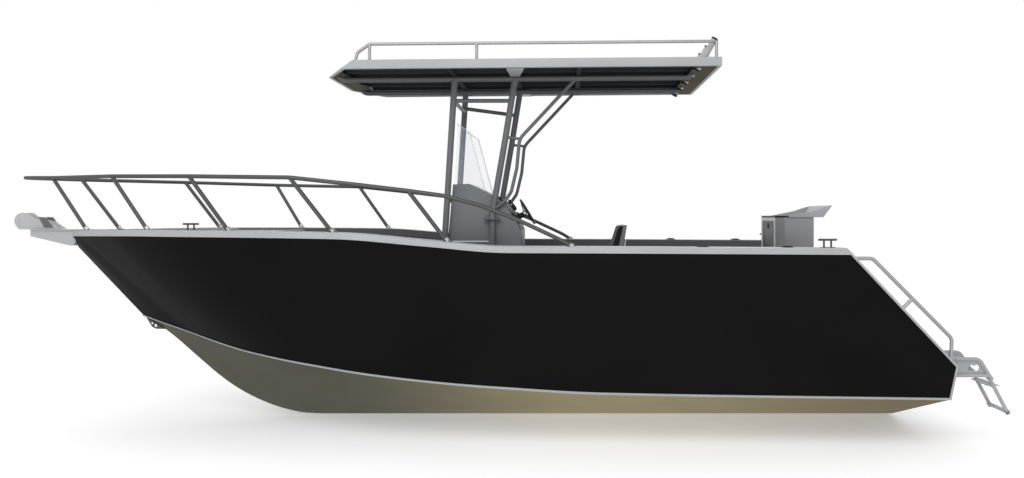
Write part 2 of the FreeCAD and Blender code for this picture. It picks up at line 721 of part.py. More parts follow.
feature("bowsprit", makeBowsprit())
padded("roller_cheeks", "XZ_Plane",
       [("rollerX - 24", "rollerHeight - 44"), ("rollerX - 34", "rollerHeight - 4"),
        ("rollerX - 22", "rollerHeight + 33"), ("rollerX + 4", "rollerHeight + 54"),
        ("rollerX + 31", "rollerHeight + 60"), ("rollerX + 72", "rollerHeight + 60"),
        ("rollerX + 139", "rollerHeight + 12"), ("rollerX + 252", "rollerHeight - 9"),
        ("rollerX + 354", "spritTop + spritPlate"), ("rollerX + 6", "spritTop + spritPlate")],
       "cheekGap + 2 * cheekPlate",
       cuts=(("XZ_Plane", [("rollerX - 60", "rollerHeight - 80"), ("rollerX + 125", "rollerHeight - 80"),
                           ("rollerX + 125", "spritTop + spritPlate + cheekPlate"),
                           ("rollerX + 380", "spritTop + spritPlate + cheekPlate"),
                           ("rollerX + 380", "rollerHeight + 90"), ("rollerX - 60", "rollerHeight + 90")],
              "cheekGap", None),
             ("XZ_Plane", ("circle", "rollerX", "rollerHeight", "rollerPinRadius"), None, None)))


def makeRoller():
    """A grooved roller with a bore that runs on its pin."""
    half = size("cheekGap") / 2 - size("rollerSide")
    rim, waist, bore = size("rollerRadius"), size("rollerWaist"), size("rollerPinRadius") + size("rollerFit")
    flat = half * 0.25
    profile = ((bore, -half), (rim, -half), (rim, -half + flat), (waist, 0), (rim, half - flat), (rim, half),
               (bore, half))
    centre = Vector(size("rollerX"), 0, size("rollerHeight"))
    corners = [centre + Vector(out, across, 0) for out, across in profile]
    face = Part.Face(Part.makePolygon(corners + corners[:1]))
    return face.revolve(centre, Vector(0, 1, 0), 360)


def makeRollerPin():
    half = size("cheekGap") / 2 + size("cheekPlate")
    centre = Vector(size("rollerX"), 0, size("rollerHeight"))
    pin = rod(centre - Vector(0, half + 2, 0), centre + Vector(0, half + 2, 0), size("rollerPinRadius"))
    headRadius = size("rollerPinRadius") + 5
    heads = [rod(centre + Vector(0, side * half, 0), centre + Vector(0, side * (half + 6), 0), headRadius)
             for side in (-1, 1)]
    return pin.fuse(heads).removeSplitter()


feature("roller_bracket", keelShape("roller_cheeks").fuse(makeRollerPin()).removeSplitter())
nodes.pop("roller_cheeks")
feature("bow_roller", makeRoller())


def makeBowEye():
    stem = stations[0].chine
    corner = stations[1].keel
    outline = [(stem.x + 18, stem.z - 11), (stem.x + 67, stem.z - 90), (stem.x + 98, stem.z - 105),
               (corner.x, corner.z), (corner.x, corner.z + 40), (stem.x + 60, stem.z - 5)]
    half = size("eyePlate") / 2
    plate = prism(outline, -half, half)
    small = Vector(stem.x + 66, 0, stem.z - 59)
    large = Vector(stem.x + 95, 0, stem.z - 78)
    sideways = Vector(0, half + 1, 0)
    holes = [rod(small - sideways, small + sideways, size("eyeSmallRadius")),
             rod(large - sideways, large + sideways, size("eyeRadius"))]
    return largest(plate.cut(hullWalls + [keelShape("chine_strip")] + holes))


feature("bow_eye_plate", makeBowEye())


def makeCleat(centre):
    """A horn cleat with its foot on the surface at the centre."""
    horn, leg = size("cleatHornRadius"), size("cleatLegSpan") / 2
    rise = Vector(0, 0, size("cleatRise"))
    half = size("cleatSpan") / 2 - horn
    bar = rod(centre + rise - Vector(half, 0, 0), centre + rise + Vector(half, 0, 0), horn)
    ends = [Part.makeSphere(horn, centre + rise + Vector(side * half, 0, 0)) for side in (-1, 1)]
    legs = [rod(centre + Vector(side * leg, 0, 0), centre + rise + Vector(side * leg, 0, 0), horn * 0.9)
            for side in (-1, 1)]
    foot = Part.makeBox(4 * leg, 5 * horn, size("cleatFoot"), centre - Vector(2 * leg, 2.5 * horn, 0))
    return bar.fuse(ends + legs + [foot])


def makeCleats():
    """Two cleats on the aft gunwales and one on the foredeck."""
    sternX = size("slopeTopX") - 136
    sternY, sternHeight = sheerAt(sternX)
    sternY -= 120
    made = [makeCleat(Vector(-2482, 0, size("foredeckHeight")))]
    for side in (-1, 1):
        cleat = makeCleat(Vector(sternX, side * sternY, sternHeight - 0.5))
        made.append(largest(cleat.cut(keelShape("gunwales"))))
    return Part.makeCompound(made)


feature("mooring_cleats", makeCleats())


# Bow rail. Each row is a rail point, and the stanchion rows also have the X of their foot.
railTable = (
    # rail X, rail Y, rail height, X of the stanchion's foot or None
    (-3833, 0, 1953, None),
    (-3833, -50, 1953, None),
    (-3740, -118, 1951, None),
    (-3503, -240, 1946, -3195),
    (-2806, -720, 1940, -2505),
    (-2087, -1075, 1926, -1822),
    (-1331, -1185, 1913, -1034),
    (-848, -1193, 1861, None),
    (-488, -1193, 1818, -208),
    (-234, -1193, 1783, None),
    (26, -1188, 1714, None),
    (294, -1180, 1610, None),
    (593, -1170, 1470, None),
    (690, -1166, 1412, None),
)


def makeBowRail():
    radius = size("railRadius")
    route = [Vector(x, y, height) for x, y, height, foot in railTable]
    posts = []
    for x, y, height, foot in railTable:
        if foot is None:
            continue
        half, deck = sheerAt(foot)
        low, high = Vector(foot, -half + size("railInset"), deck - 12), Vector(x, y, height)
        posts.append(rod(low, high - (high - low).normalize() * radius / 2, radius))
    closing = slab(-2 * wide, 2 * wide, wide, 0, 2 * tall).translated(Vector(0, wide, 0))
    rail = tube(route, radius, size("railBend")).fuse(posts)
    carriers = [keelShape("gunwales"), keelShape("topsides"), keelShape("foredeck")]
    return largest(rail.cut(carriers + [closing]))


feature("bow_rail", joined(makeBowRail()))


# Stern rail, down the raked side end
def onSlope(x):
    upper, lower, run = slopeLine(size("trimPlate"))
    return upper.z + (x - upper.x) * run.z / run.x


def sideMiddle(height):
    """The middle of the topside's thickness, near the stern."""
    last = stations[-1]
    share = (height - last.chine.z) / (last.top.z - last.chine.z)
    return last.chine.y + (last.top.y - last.chine.y) * share + size("sideWall") / 2


def makeSternRail():
    radius = size("sternRailRadius")
    upperX, upperHeight = size("slopeTopX") + 22, size("slopeTopHeight") - 23
    kneeX, kneeHeight = size("slopeTopX") + 156, upperHeight
    lowX, lowHeight = size("slopeFootX") - 35, size("slopeFootHeight") + 206
    footHeight = onSlope(lowX) - 20
    spots = ((upperX, upperHeight), (kneeX, kneeHeight), (lowX, lowHeight), (lowX, footHeight))
    route = [Vector(x, sideMiddle(height), height) for x, height in spots]
    rail = tube(route, radius, size("sternRailBend"))
    middleX = (kneeX + lowX) / 2
    middleHeight = (kneeHeight + lowHeight) / 2
    outer = Vector(middleX, sideMiddle(middleHeight), middleHeight)
    inner = Vector(middleX - 70, sideMiddle(middleHeight - 75), middleHeight - 75)
    brace = rod(inner, outer, radius)
    return largest(rail.fuse(brace).cut([keelShape("stern_edgings"), keelShape("topsides"),
                                         keelShape("gunwales")]))


feature("stern_rails", paired(makeSternRail()))


# Boarding bracket on the transom and the ladder that folds on it
def makeBracket():
    pin = Vector(size("ladderPinX"), size("ladderY"), size("ladderPinHeight"))
    radius, plate, half = size("ladderRadius"), size("bracketPlate"), size("ladderHalf")
    top, low = pin.z + 141, pin.z + 20
    made = []
    for side in (-1, 1):
        y = pin.y + side * (half + radius + 5 + plate / 2)
        barY = pin.y + side * (half + 2 * radius + 5)
        start = transomX(top, 30)
        made.append(tube([Vector(start, barY, top), Vector(pin.x - 85, barY, top), Vector(pin.x - 6, barY, pin.z + 10)],
                         radius, 60))
        made.append(rod(Vector(transomX(low, 30), barY, low), Vector(pin.x - 10, barY, low), radius))
        outline = [(transomX(low, 10), low - 14), (pin.x - 30, low - 14), (pin.x + 10, pin.z - 12),
                   (pin.x + 16, pin.z + 8), (pin.x - 82, top), (transomX(top, 10), top)]
        cheek = prism(outline, y - plate / 2, y + plate / 2)
        oval = Part.makeCylinder(22, plate + 2, Vector(pin.x - 142, y - plate / 2 - 1, pin.z + 74), Vector(0, 1, 0))
        slot = oval.fuse(oval.translated(Vector(38, 0, 0)))
        made.append(cheek.cut(slot))
    shaftHalf = half + radius + 5 + plate + 4
    made.append(rod(pin - Vector(0, shaftHalf, 0), pin + Vector(0, shaftHalf, 0), size("ladderPinRadius")))
    reach = half + radius + 5 + plate / 2
    made.append(rod(Vector(pin.x - 150, pin.y - reach, low), Vector(pin.x - 150, pin.y + reach, low), radius))
    bracket = made[0].fuse(made[1:])
    carriers = hullWalls + edgings + [keelShape("transom_plate"), keelShape("swim_platform"),
                                      keelShape("chine_strip")]
    return largest(bracket.cut(carriers))


def makeLadder():
    pin = Vector(size("ladderPinX"), size("ladderY"), size("ladderPinHeight"))
    radius, half = size("ladderRadius"), size("ladderHalf")
    down = Vector(0.466, 0, -0.885).normalize()
    stiles = []
    for side in (-1, 1):
        head = pin + Vector(0, side * half, 0) - down * 20
        foot = pin + Vector(0, side * half, 0) + down * 300
        stiles.append(rod(head, foot, radius))
        boss = pin + Vector(0, side * half, 0)
        stiles.append(rod(boss - Vector(0, radius, 0), boss + Vector(0, radius, 0), radius + 5))
    rungs = []
    for reach, breadth in ((70, 88), (285, 52)):
        centre = pin + down * reach
        rungs.append(rod(centre - Vector(0, half, 0), centre + Vector(0, half, 0), radius))
        tread = Part.makeBox(breadth, 2 * half, 6, centre + Vector(-breadth / 2, -half, 0))
        rungs.append(tread)
    ladder = stiles[0].fuse(stiles[1:] + rungs)
    bore = size("ladderPinRadius") + size("ladderPinFit")
    return largest(ladder.cut(rod(pin - Vector(0, 300, 0), pin + Vector(0, 300, 0), bore)))


feature("boarding_bracket", makeBracket())
feature("boarding_ladder", makeLadder())


# Roof
def roofUnder(x):
    share = (x - size("roofFore")) / (size("roofAft") - size("roofFore"))
    return size("roofHeight") + size("roofRise") * share


def roofOutline(inset, lean, rise):
    """The roof's plan, moved inwards, with its front set back, at a height above its underside."""
    fore, aft = size("roofFore") + inset + lean, size("roofAft") - inset
    corner = size("roofFore") + size("roofNoseLength") + inset * 0.6 + lean
    half = size("roofHalf") - inset
    nose = size("roofNoseHalf") - inset * 0.3
    plan = ((fore, -nose), (corner, -half), (aft, -half), (aft, half), (corner, half), (fore, nose))
    return [Vector(x, y, roofUnder(x) + rise) for x, y in plan]


def roofBlock(inset, lowRise, highRise):
    lean = size("fasciaLean") / size("fasciaHeight")
    wires = []
    for rise in (lowRise, highRise):
        corners = roofOutline(inset, lean * rise, rise)
        wires.append(Part.makePolygon(corners + corners[:1]))
    return Part.makeLoft(wires, True, True)


def makeRoofSkin():
    """The roof sheet, and the closed panels under its fore and aft ends."""
    high, wall = size("fasciaHeight"), size("fasciaWall")
    panels = roofBlock(wall, 0, size("panelPlate"))
    bay = slab(size("roofFore") + size("nosePanel"), size("roofAft") - size("aftPanel"), wide, 0, 2 * tall)
    sheets = roofBlock(wall, high - size("roofSkin"), high).Solids + panels.cut(bay).Solids
    return Part.makeCompound([sheet.cut(roofHolderBodies()) for sheet in sheets])


def makeFascia():
    high, wall = size("fasciaHeight"), size("fasciaWall")
    return roofBlock(0, 0, high).cut(roofBlock(wall, -1, high + 1))


def roofHolderAxis():
    """The foot of the middle rod holder and its upward direction."""
    lean = math.radians(size("holderLean"))
    heading = Vector(math.sin(lean), 0, math.cos(lean))
    footX = size("roofAft") - 178
    foot = Vector(footX, 0, roofUnder(footX) - 22)
    return foot, heading


def roofHolderBodies():
    foot, heading = roofHolderAxis()
    return [rod(foot + Vector(0, place * size("holderPitch"), 0),
                foot + Vector(0, place * size("holderPitch"), 0) + heading * size("holderLength"),
                size("holderRadius")) for place in (-2, -1, 0, 1, 2)]


def makeRoofHolders():
    foot, heading = roofHolderAxis()
    made = []
    for place, body in zip((-2, -1, 0, 1, 2), roofHolderBodies()):
        start = foot + Vector(0, place * size("holderPitch"), 0)
        bore = rod(start - heading, start + heading * (size("holderLength") + 1), size("holderBore"))
        made.append(body.cut(bore))
    return Part.makeCompound(made)


beamTable = (
    # X of each cross beam's middle
    -242,
    234,
    731,
)


def makeRoofBeams():
    """Cross beams between the roof's edges, under the ribs."""
    half = size("beamWidth") / 2
    inner = roofBlock(size("fasciaWall"), 0, size("roofBeam"))
    return [inner.common(slab(x - half, x + half, wide, 0, 2 * tall)) for x in beamTable]


ribTable = (
    # middle Y, and whether the rib is a wide one
    (-700, False),
    (-520, True),
    (-260, False),
    (0, True),
    (260, False),
    (520, True),
    (700, False),
)


def makeRibs():
    fore = size("roofFore") + size("nosePanel")
    aft = size("roofAft") - size("aftPanel")
    deep = roofBlock(size("fasciaWall"), size("roofBeam"), size("fasciaHeight") - size("roofSkin"))
    made = []
    for middle, broad in ribTable:
        half = (size("ribWidth") if broad else size("slimRibWidth")) / 2
        block = Part.makeBox(aft - fore, 2 * half, tall * 2, Vector(fore, middle - half, 0))
        made.append(largest(deep.common(block)))
    return made[0].fuse(made[1:] + makeRoofBeams()).removeSplitter()


def roofTop(x):
    return roofUnder(x) + size("fasciaHeight")


def makeRoofRail():
    """Side rails, the aft cross rail and their posts."""
    radius, half, rise = size("roofRailRadius"), size("roofRailHalf"), size("roofRailRise")
    footX, foreX, aftX = size("roofFore") + 300, size("roofFore") + 409, size("roofAft") - 36
    footY = half - 12
    made = []
    route = []
    for side in (-1, 1):
        way = [Vector(footX, side * footY, roofTop(footX) - 4), Vector(footX + 14, side * footY, roofTop(footX) + 60),
               Vector(foreX, side * half, roofTop(foreX) + rise)]
        aft = Vector(aftX, side * half, roofTop(aftX) + rise)
        route += way + [aft] if side < 0 else [aft] + way[::-1]
        for x in (foreX, foreX + 798, aftX):
            foot = Vector(x, side * half, roofTop(x) - 4)
            made.append(rod(foot, Vector(x, side * half, roofTop(x) + rise), radius))
    rail = tube(route, radius, 40).fuse(made)
    return largest(rail.cut([keelShape("roof_fascia"), keelShape("roof_skin"), keelShape("roof_rod_holders")]))


feature("roof_fascia", makeFascia())
feature("roof_skin", makeRoofSkin())
feature("roof_ribs", makeRibs())
feature("roof_rod_holders", makeRoofHolders())
feature("roof_rail", makeRoofRail())

# Roof frame
legY = size("consoleHalf") + size("legRadius") + size("legClear")
beamX = dict(zip(("fore", "middle", "aft"), beamTable))


def makeLeg(points, radius):
    return tube([Vector(x, -legY, height) for x, height in points], radius, size("legBend"))


def legBottom():
    return size("soleHeight")


foreLegPoints = ((beamX["fore"], roofUnder(beamX["fore"])), (-370, legBottom()))
aftLegPoints = ((beamX["middle"], roofUnder(beamX["middle"])), (157, 2258), (52, 1650), (52, legBottom()))
strutPoints = ((beamX["aft"], roofUnder(beamX["aft"])), (267, 2246), (245, 2014), (201, 1827), (146, 1749), (60, 1690))


def trimmed(shape, drop):
    """The shape between the sole and a plane that far below the underside of the roof."""
    low = slab(-size("hullLength"), size("hullLength"), wide, -tall, size("soleHeight"))
    under = roofOutline(-200, 0, -drop)
    high = Part.Face(Part.makePolygon(under + under[:1])).extrude(Vector(0, 0, tall))
    return shape.cut([low, high])


def alongRun(points, height):
    """The X of a run of points at a height."""
    for (startX, startHeight), (endX, endHeight) in zip(points, points[1:]):
        if endHeight <= height <= startHeight:
            return startX + (endX - startX) * (height - startHeight) / (endHeight - startHeight)
    raise ValueError("no leg at %g" % height)


def extended(points, over):
    """The points with both ends run on past the roof and the sole."""
    route = [Vector(x, 0, height) for x, height in points]
    route[0] = route[0] + (route[0] - route[1]).normalize() * over
    route[-1] = route[-1] + (route[-1] - route[-2]).normalize() * over
    return [(point.x, point.z) for point in route]


def footPad(x, radius):
    return Part.makeCylinder(radius + 22, 8, Vector(x, -legY - 12, legBottom()))


def makeRunner():
    """The port tube under the roof, its ends turned up to the closed panels."""
    under = size("runnerRadius") + size("legClear")
    turn = size("runnerTurn")
    spots = ((size("runnerFore"), under), (size("runnerFore") + turn, -under), (size("runnerAft") - turn, -under),
             (size("runnerAft"), under))
    route = [Vector(x, -legY, roofUnder(x) + rise) for x, rise in spots]
    return largest(trimmed(tube(route, size("runnerRadius"), 80), size("legClear")))


def onRunner(shape):
    """A leg or strut cut to the runner that it carries."""
    return largest(trimmed(shape, size("runnerRadius") + size("legClear")).cut(makeRunner()))


def makeForeLeg():
    leg = onRunner(makeLeg(extended(foreLegPoints, 40), size("legRadius")))
    pad = footPad(foreLegPoints[-1][0] - 26, size("legRadius")).cut(slab(-wide, wide, size("consoleHalf") + 0.3,
                                                                         0, tall))
    return largest(leg.fuse(pad).removeSplitter())


def makeAftLeg():
    leg = onRunner(makeLeg(extended(aftLegPoints, 40), size("legRadius")))
    pad = footPad(aftLegPoints[-1][0], size("legRadius")).cut(slab(-wide, wide, size("consoleHalf") + 0.3,
                                                                   0, tall))
    return largest(leg.fuse(pad).removeSplitter())


feature("roof_fore_legs", paired(makeForeLeg()))
feature("roof_aft_legs", paired(makeAftLeg()))


def makeBraces():
    """Braces between the legs, the starboard one sloping, and the cross bar of the fore legs."""
    height = roofUnder(beamX["fore"]) - 190
    radius = size("braceRadius")
    made = []
    for side, slope in ((-1, 0), (1, 30)):
        ends = [Vector(alongRun(points, height + rise), side * legY, height + rise)
                for points, rise in ((foreLegPoints, slope), (aftLegPoints, -slope))]
        made.append(rod(ends[0], ends[1], radius))
    foreX = alongRun(foreLegPoints, height)
    made.append(rod(Vector(foreX, -legY, height), Vector(foreX, legY, height), radius))
    made[2] = made[2].cut(made[:2])
    legs = [keelShape("roof_fore_legs"), keelShape("roof_aft_legs")]
    return [largest(piece.cut(legs)) for piece in made]


def makeStruts():
    """The bent strut of each side, with its tie to the aft leg."""
    strut = onRunner(makeLeg(extended(strutPoints, 20), size("strutRadius")))
    knee = strutPoints[1]
    tie = rod(Vector(alongRun(aftLegPoints, knee[1] + 12), -legY, knee[1] + 12), Vector(knee[0], -legY, knee[1]),
              size("strutRadius") * 0.8)
    port = largest(strut.fuse(tie).cut(keelShape("roof_aft_legs")))
    runner = makeRunner()
    return Part.makeCompound(makeBraces() + [port, twin(port), runner, twin(runner)])


feature("roof_struts", makeStruts())

# Console, its door and the windscreen
consoleOutline = [("-370", "soleHeight"), ("-260", "1888"), ("-133", "1893"), ("45", "1805"), ("155", "1727"),
                  ("189", "1672"), ("255", "1561"), ("275", "1517"), ("275", "soleHeight")]
consoleHollow = [("-370 + 1.2 * consoleWall", "soleHeight - 1"), ("-260 + 1.2 * consoleWall", "1888 - consoleWall"),
                 ("-133 - 0.2 * consoleWall", "1893 - consoleWall"), ("45 - 0.5 * consoleWall", "1805 - consoleWall"),
                 ("155 - 0.9 * consoleWall", "1727 - consoleWall"), ("255 - 1.3 * consoleWall", "1561 - 0.8 * consoleWall"),
                 ("275 - consoleWall", "1517 - consoleWall"), ("275 - consoleWall", "soleHeight - 1")]
shaftFootX, shaftFootHeight = 221, 1619
padded("console_blank", "XZ_Plane", consoleOutline, "2 * consoleHalf",
       cuts=(("XZ_Plane", consoleHollow, "2 * consoleHalf - 2 * consoleWall", None),))


def makeConsoleShell():
    """The console with its door's rebate and opening, and the steering shaft's hole."""
    gap, ledge, plate = size("lidGap"), size("lidLedge"), size("doorPlate") + size("lidSeat")
    fore, aft, foot, top = size("doorFore"), size("doorAft"), size("doorFoot"), size("doorTop")
    outside = -size("consoleHalf")
    rebate = Part.makeBox(aft - fore + 2 * gap, plate + 1, top - foot + 2 * gap, Vector(fore - gap, outside - 1, foot - gap))
    through = Part.makeBox(aft - fore - 2 * ledge, size("consoleWall") + 1, top - foot - 2 * ledge,
                           Vector(fore + ledge, outside, foot + ledge))
    hub, heading = wheelAxis()
    hole = rod(hub - heading * (size("wheelStandoff") + 60), hub, size("shaftRadius") + size("shaftFit"))
    return keelShape("console_blank").cut([rebate, through, hole])


def wheelAxis():
    """The wheel's centre and the direction towards the helmsman."""
    tilt = math.radians(size("wheelTilt"))
    heading = Vector(math.cos(tilt), 0, math.sin(tilt))
    return Vector(shaftFootX, 0, shaftFootHeight) + heading * size("wheelStandoff"), heading


feature("console_shell", makeConsoleShell())
nodes.pop("console_blank")
padded("console_door", "XZ_Plane",
       [("doorFore", "doorFoot"), ("doorAft", "doorFoot"), ("doorAft", "doorTop"), ("doorFore", "doorTop")],
       "doorPlate", place=("0", "-consoleHalf + doorPlate / 2", "0"))
padded("windscreen", "XZ_Plane",
       [("-256", "1889.3"), ("-227", "2373"), ("-124", "2305"), ("2", "1827.3"), ("-133", "1893.9")],
       "2 * consoleHalf - 2 * glassPlate",
       cuts=(("XZ_Plane", [("-256 + glassPlate", "1850"), ("-227 + glassPlate", "2400"), ("60", "2400"), ("60", "1800")],
              "2 * consoleHalf - 4 * glassPlate", None),))


# Helm controls
def makeWheel():
    hub, heading = wheelAxis()
    rim = Part.makeTorus(size("wheelRadius"), size("wheelGrip"), hub, heading)
    centre = rod(hub - heading * 14, hub + heading * 10, size("hubRadius"))
    sideways = Vector(0, 1, 0)
    upward = heading.cross(sideways)
    spokes = []
    for degrees in (90, 210, 330):
        turn = math.radians(degrees)
        reach = sideways * math.cos(turn) + upward * math.sin(turn)
        spokes.append(rod(hub, hub + reach * size("wheelRadius"), 7))
    shaft = rod(hub - heading * (size("wheelStandoff") + 30), hub, size("shaftRadius"))
    collar = rod(hub - heading * (size("wheelStandoff") - 6), hub, size("shaftRadius") + 10)
    return rim.fuse([centre, shaft, collar] + spokes).removeSplitter()


def makeThrottle():
    """The side-lever control, its base on the console's sloping face."""
    hub, heading = wheelAxis()
    foot = Vector(172, 215, 1700.7)
    across = Vector(0, 1, 0)
    base = rod(foot - heading * 14, foot + heading * 26, 30)
    lever = tube([foot + heading * 10, foot + heading * 34, foot + heading * 30 + Vector(-46, 0, 50)], 7, 14)
    knobAt = foot + heading * 30 + Vector(-46, 0, 50)
    knob = Part.makeCylinder(13, 56, knobAt - across * 28, across)
    return largest(base.fuse([lever, knob]).cut(keelShape("console_shell")))


feature("steering_wheel", makeWheel())
feature("throttle_control", makeThrottle())

# Helm seat
padded("helm_seat_base", "XZ_Plane",
       [("seatFore", "soleHeight"), ("seatAft", "soleHeight"), ("seatAft", "seatHeight"),
        ("seatFore", "seatHeight")], "2 * seatHalf",
       cuts=(("XZ_Plane",
              [("seatFore + consoleWall", "soleHeight - 1"), ("seatAft - consoleWall", "soleHeight - 1"),
               ("seatAft - consoleWall", "seatHeight - consoleWall"),
               ("seatFore + consoleWall", "seatHeight - consoleWall")],
              "2 * seatHalf - 2 * consoleWall", None),))
padded("helm_seat_cushion", "XZ_Plane",
       [("seatFore + 5", "seatHeight + softGap"), ("seatAft - 12", "seatHeight + softGap"),
        ("seatAft - 12", "seatHeight + cushionDepth"), ("seatFore + 5", "seatHeight + cushionDepth")],
       "2 * cushionHalf")
padded("helm_seat_backrest", "XZ_Plane",
       [("seatAft - 80", "seatHeight + 150"), ("seatAft + 22", "seatHeight + 150"),
        ("seatAft + 64", "seatHeight + 395"), ("seatAft", "seatHeight + 395")], "2 * backHalf")


def makeSeatBrackets():
    """Two bent plates that carry the backrest on the seat base."""
    aft, top, gap = size("seatAft"), size("seatHeight"), size("softGap")
    outline = [(aft, top - 170), (aft, top), (aft + 22 + gap, top + 150), (aft + 44.3 + gap, top + 280),
               (aft + 58, top + 280), (aft + 40, top + 150), (aft + 25, top), (aft + 25, top - 170)]
    half = size("backHalf") - 60
    return Part.makeCompound([prism(outline, side * half - 22, side * half + 22) for side in (-1, 1)])


feature("helm_seat_brackets", makeSeatBrackets())

# Bait station
padded("bait_cabinet_blank", "XY_Plane",
       [("baitFore", "-baitHalf + baitCorner"), ("baitFore + 0.75 * baitCorner", "-baitHalf"),
        ("bulkheadAft - bulkheadWall", "-baitHalf"), ("bulkheadAft - bulkheadWall", "baitHalf"),
        ("baitFore + 0.75 * baitCorner", "baitHalf"), ("baitFore", "baitHalf - baitCorner")],
       "baitHeight - soleHeight",
       cuts=(("XY_Plane",
              [("baitFore + baitWall", "-baitHalf + baitCorner + 0.5 * baitWall"),
               ("baitFore + 0.75 * baitCorner + 0.5 * baitWall", "-baitHalf + baitWall"),
               ("bulkheadAft - bulkheadWall - baitWall", "-baitHalf + baitWall"),
               ("bulkheadAft - bulkheadWall - baitWall", "baitHalf - baitWall"),
               ("baitFore + 0.75 * baitCorner + 0.5 * baitWall", "baitHalf - baitWall"),
               ("baitFore + baitWall", "baitHalf - baitCorner - 0.5 * baitWall")],
              "baitHeight - soleHeight - baitWall", True),),
       place=("0", "0", "soleHeight"), middle=False)


def makeBaitCabinet():
    gap, ledge, plate = size("lidGap"), size("lidLedge"), size("doorPlate") + size("lidSeat")
    fore, half, foot, top = size("baitFore"), size("baitDoorHalf"), size("baitDoorFoot"), size("baitDoorTop")
    rebate = Part.makeBox(plate + 1, 2 * half + 2 * gap, top - foot + 2 * gap, Vector(fore - 1, -half - gap, foot - gap))
    through = Part.makeBox(size("baitWall") + 2, 2 * half - 2 * ledge, top - foot - 2 * ledge,
                           Vector(fore - 1, -half + ledge, foot + ledge))
    return keelShape("bait_cabinet_blank").cut([rebate, through])


feature("bait_cabinet", makeBaitCabinet())
nodes.pop("bait_cabinet_blank")
padded("bait_door", "YZ_Plane",
       [("-baitDoorHalf", "baitDoorFoot"), ("baitDoorHalf", "baitDoorFoot"), ("baitDoorHalf", "baitDoorTop"),
        ("-baitDoorHalf", "baitDoorTop")],
       "doorPlate", place=("baitFore", "0", "0"), middle=False)


def makeBaitBoard():
    """The cutting board with its raised side cheeks and aft lip."""
    half, top, thick = size("baitHalf"), size("baitHeight"), size("baitBoard")
    fore, reach, tip, lipTop = size("baitFore"), size("boardReach"), size("lipReach"), size("lipHeight")
    lip = size("lipPlate")
    corner = 0.75 * size("baitCorner")
    plan = [(fore, -half + size("baitCorner")), (fore + corner, -half), (reach, -half), (reach, half),
            (fore + corner, half), (fore, half - size("baitCorner"))]
    base = Part.Face(Part.makePolygon([Vector(x, y, top) for x, y in plan + plan[:1]])).extrude(Vector(0, 0, thick))
    cheek = [(fore + 90, top), (fore + 90, top + 11), (fore + 170, top + 27), (fore + 290, top + 52),
             (fore + 390, lipTop - 11), (tip, lipTop), (reach, top)]
    cheeks = [prism(cheek, side * half - lip / 2 + side * lip / 2, side * half + lip / 2 + side * lip / 2)
              for side in (-1, 1)]
    aft = prism([(reach - lip, top), (reach, top), (tip, lipTop), (tip - lip, lipTop)], -half, half)
    return base.fuse(cheeks + [aft]).removeSplitter().cut(keelShape("bait_cabinet"))


feature("bait_board", makeBaitBoard())


# Gunwale rod holders, let into the aft gunwales
def deckHolder(x, side):
    """One flanged holder: its tube, flange and bore."""
    half, height = sheerAt(x)
    lean = math.radians(size("deckHolderLean"))
    heading = Vector(math.sin(lean), 0, math.cos(lean))
    centre = Vector(x, side * size("deckHolderY"), height)
    return centre, heading


def makeDeckHolders():
    made = []
    cuts = []
    for side in (-1, 1):
        for x in (1615, 2224):
            centre, heading = deckHolder(x, side)
            foot = centre - heading * size("deckHolderDepth")
            barrel = rod(foot, centre + heading * 30, size("holderRadius"))
            barrel = barrel.cut(slab(0, 4000, wide, centre.z + 6, 2 * tall))
            flange = Part.makeCylinder(size("deckHolderFlange"), 5.5, centre + Vector(0, 0, 0.5))
            bore = rod(foot + heading * 8, centre + heading * 40, size("holderBore"))
            cuts.append(rod(foot, centre + heading * 60, size("holderRadius")))
            made.append(largest(barrel.fuse(flange).cut(bore)))
    nodes["gunwales"].Shape = keelShape("gunwales").cut(cuts)
    keep("gunwales", nodes["gunwales"])
    return Part.makeCompound([largest(piece.cut(keelShape("gunwales"))) for piece in made])


feature("gunwale_rod_holders", makeDeckHolders())

# Every object is checked before anything is written
doc.recompute()
for made in doc.Objects:
    if "Invalid" in made.State or "Error" in made.State:
        raise ValueError("%s failed" % made.Label)
for label, made in nodes.items():
    if made.Shape.isNull() or not made.Shape.isValid() or not made.Shape.Solids:
        raise ValueError("%s has no valid shape" % label)
for label, made in nodes.items():
    made.Shape.exportStep("parts/%s.step" % label)
    print("%-26s solids %2d volume %10.0f cm3" % (label, len(made.Shape.Solids), made.Shape.Volume / 1000))
print("%d sub-parts" % len(nodes))
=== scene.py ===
import json
import math

import bmesh
import bpy
import numpy as np
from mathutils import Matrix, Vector
from mathutils.bvhtree import BVHTree


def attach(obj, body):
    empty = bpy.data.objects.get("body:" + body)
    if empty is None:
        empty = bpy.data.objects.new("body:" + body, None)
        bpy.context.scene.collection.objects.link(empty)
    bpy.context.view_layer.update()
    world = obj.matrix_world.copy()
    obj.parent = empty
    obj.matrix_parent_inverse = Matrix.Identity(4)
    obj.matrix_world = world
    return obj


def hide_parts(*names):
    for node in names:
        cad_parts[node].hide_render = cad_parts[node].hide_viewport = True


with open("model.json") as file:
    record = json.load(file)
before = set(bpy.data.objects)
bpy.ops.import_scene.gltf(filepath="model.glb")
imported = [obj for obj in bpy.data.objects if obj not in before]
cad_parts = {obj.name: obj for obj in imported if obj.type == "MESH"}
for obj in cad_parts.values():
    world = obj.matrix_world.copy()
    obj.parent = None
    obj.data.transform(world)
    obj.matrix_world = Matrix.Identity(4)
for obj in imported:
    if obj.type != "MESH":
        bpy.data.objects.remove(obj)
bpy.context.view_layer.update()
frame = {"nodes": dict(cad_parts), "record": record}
nodes = frame["nodes"]
slotOf = {row["node"]: row["material_slot"] for row in frame["record"]["subparts"]}
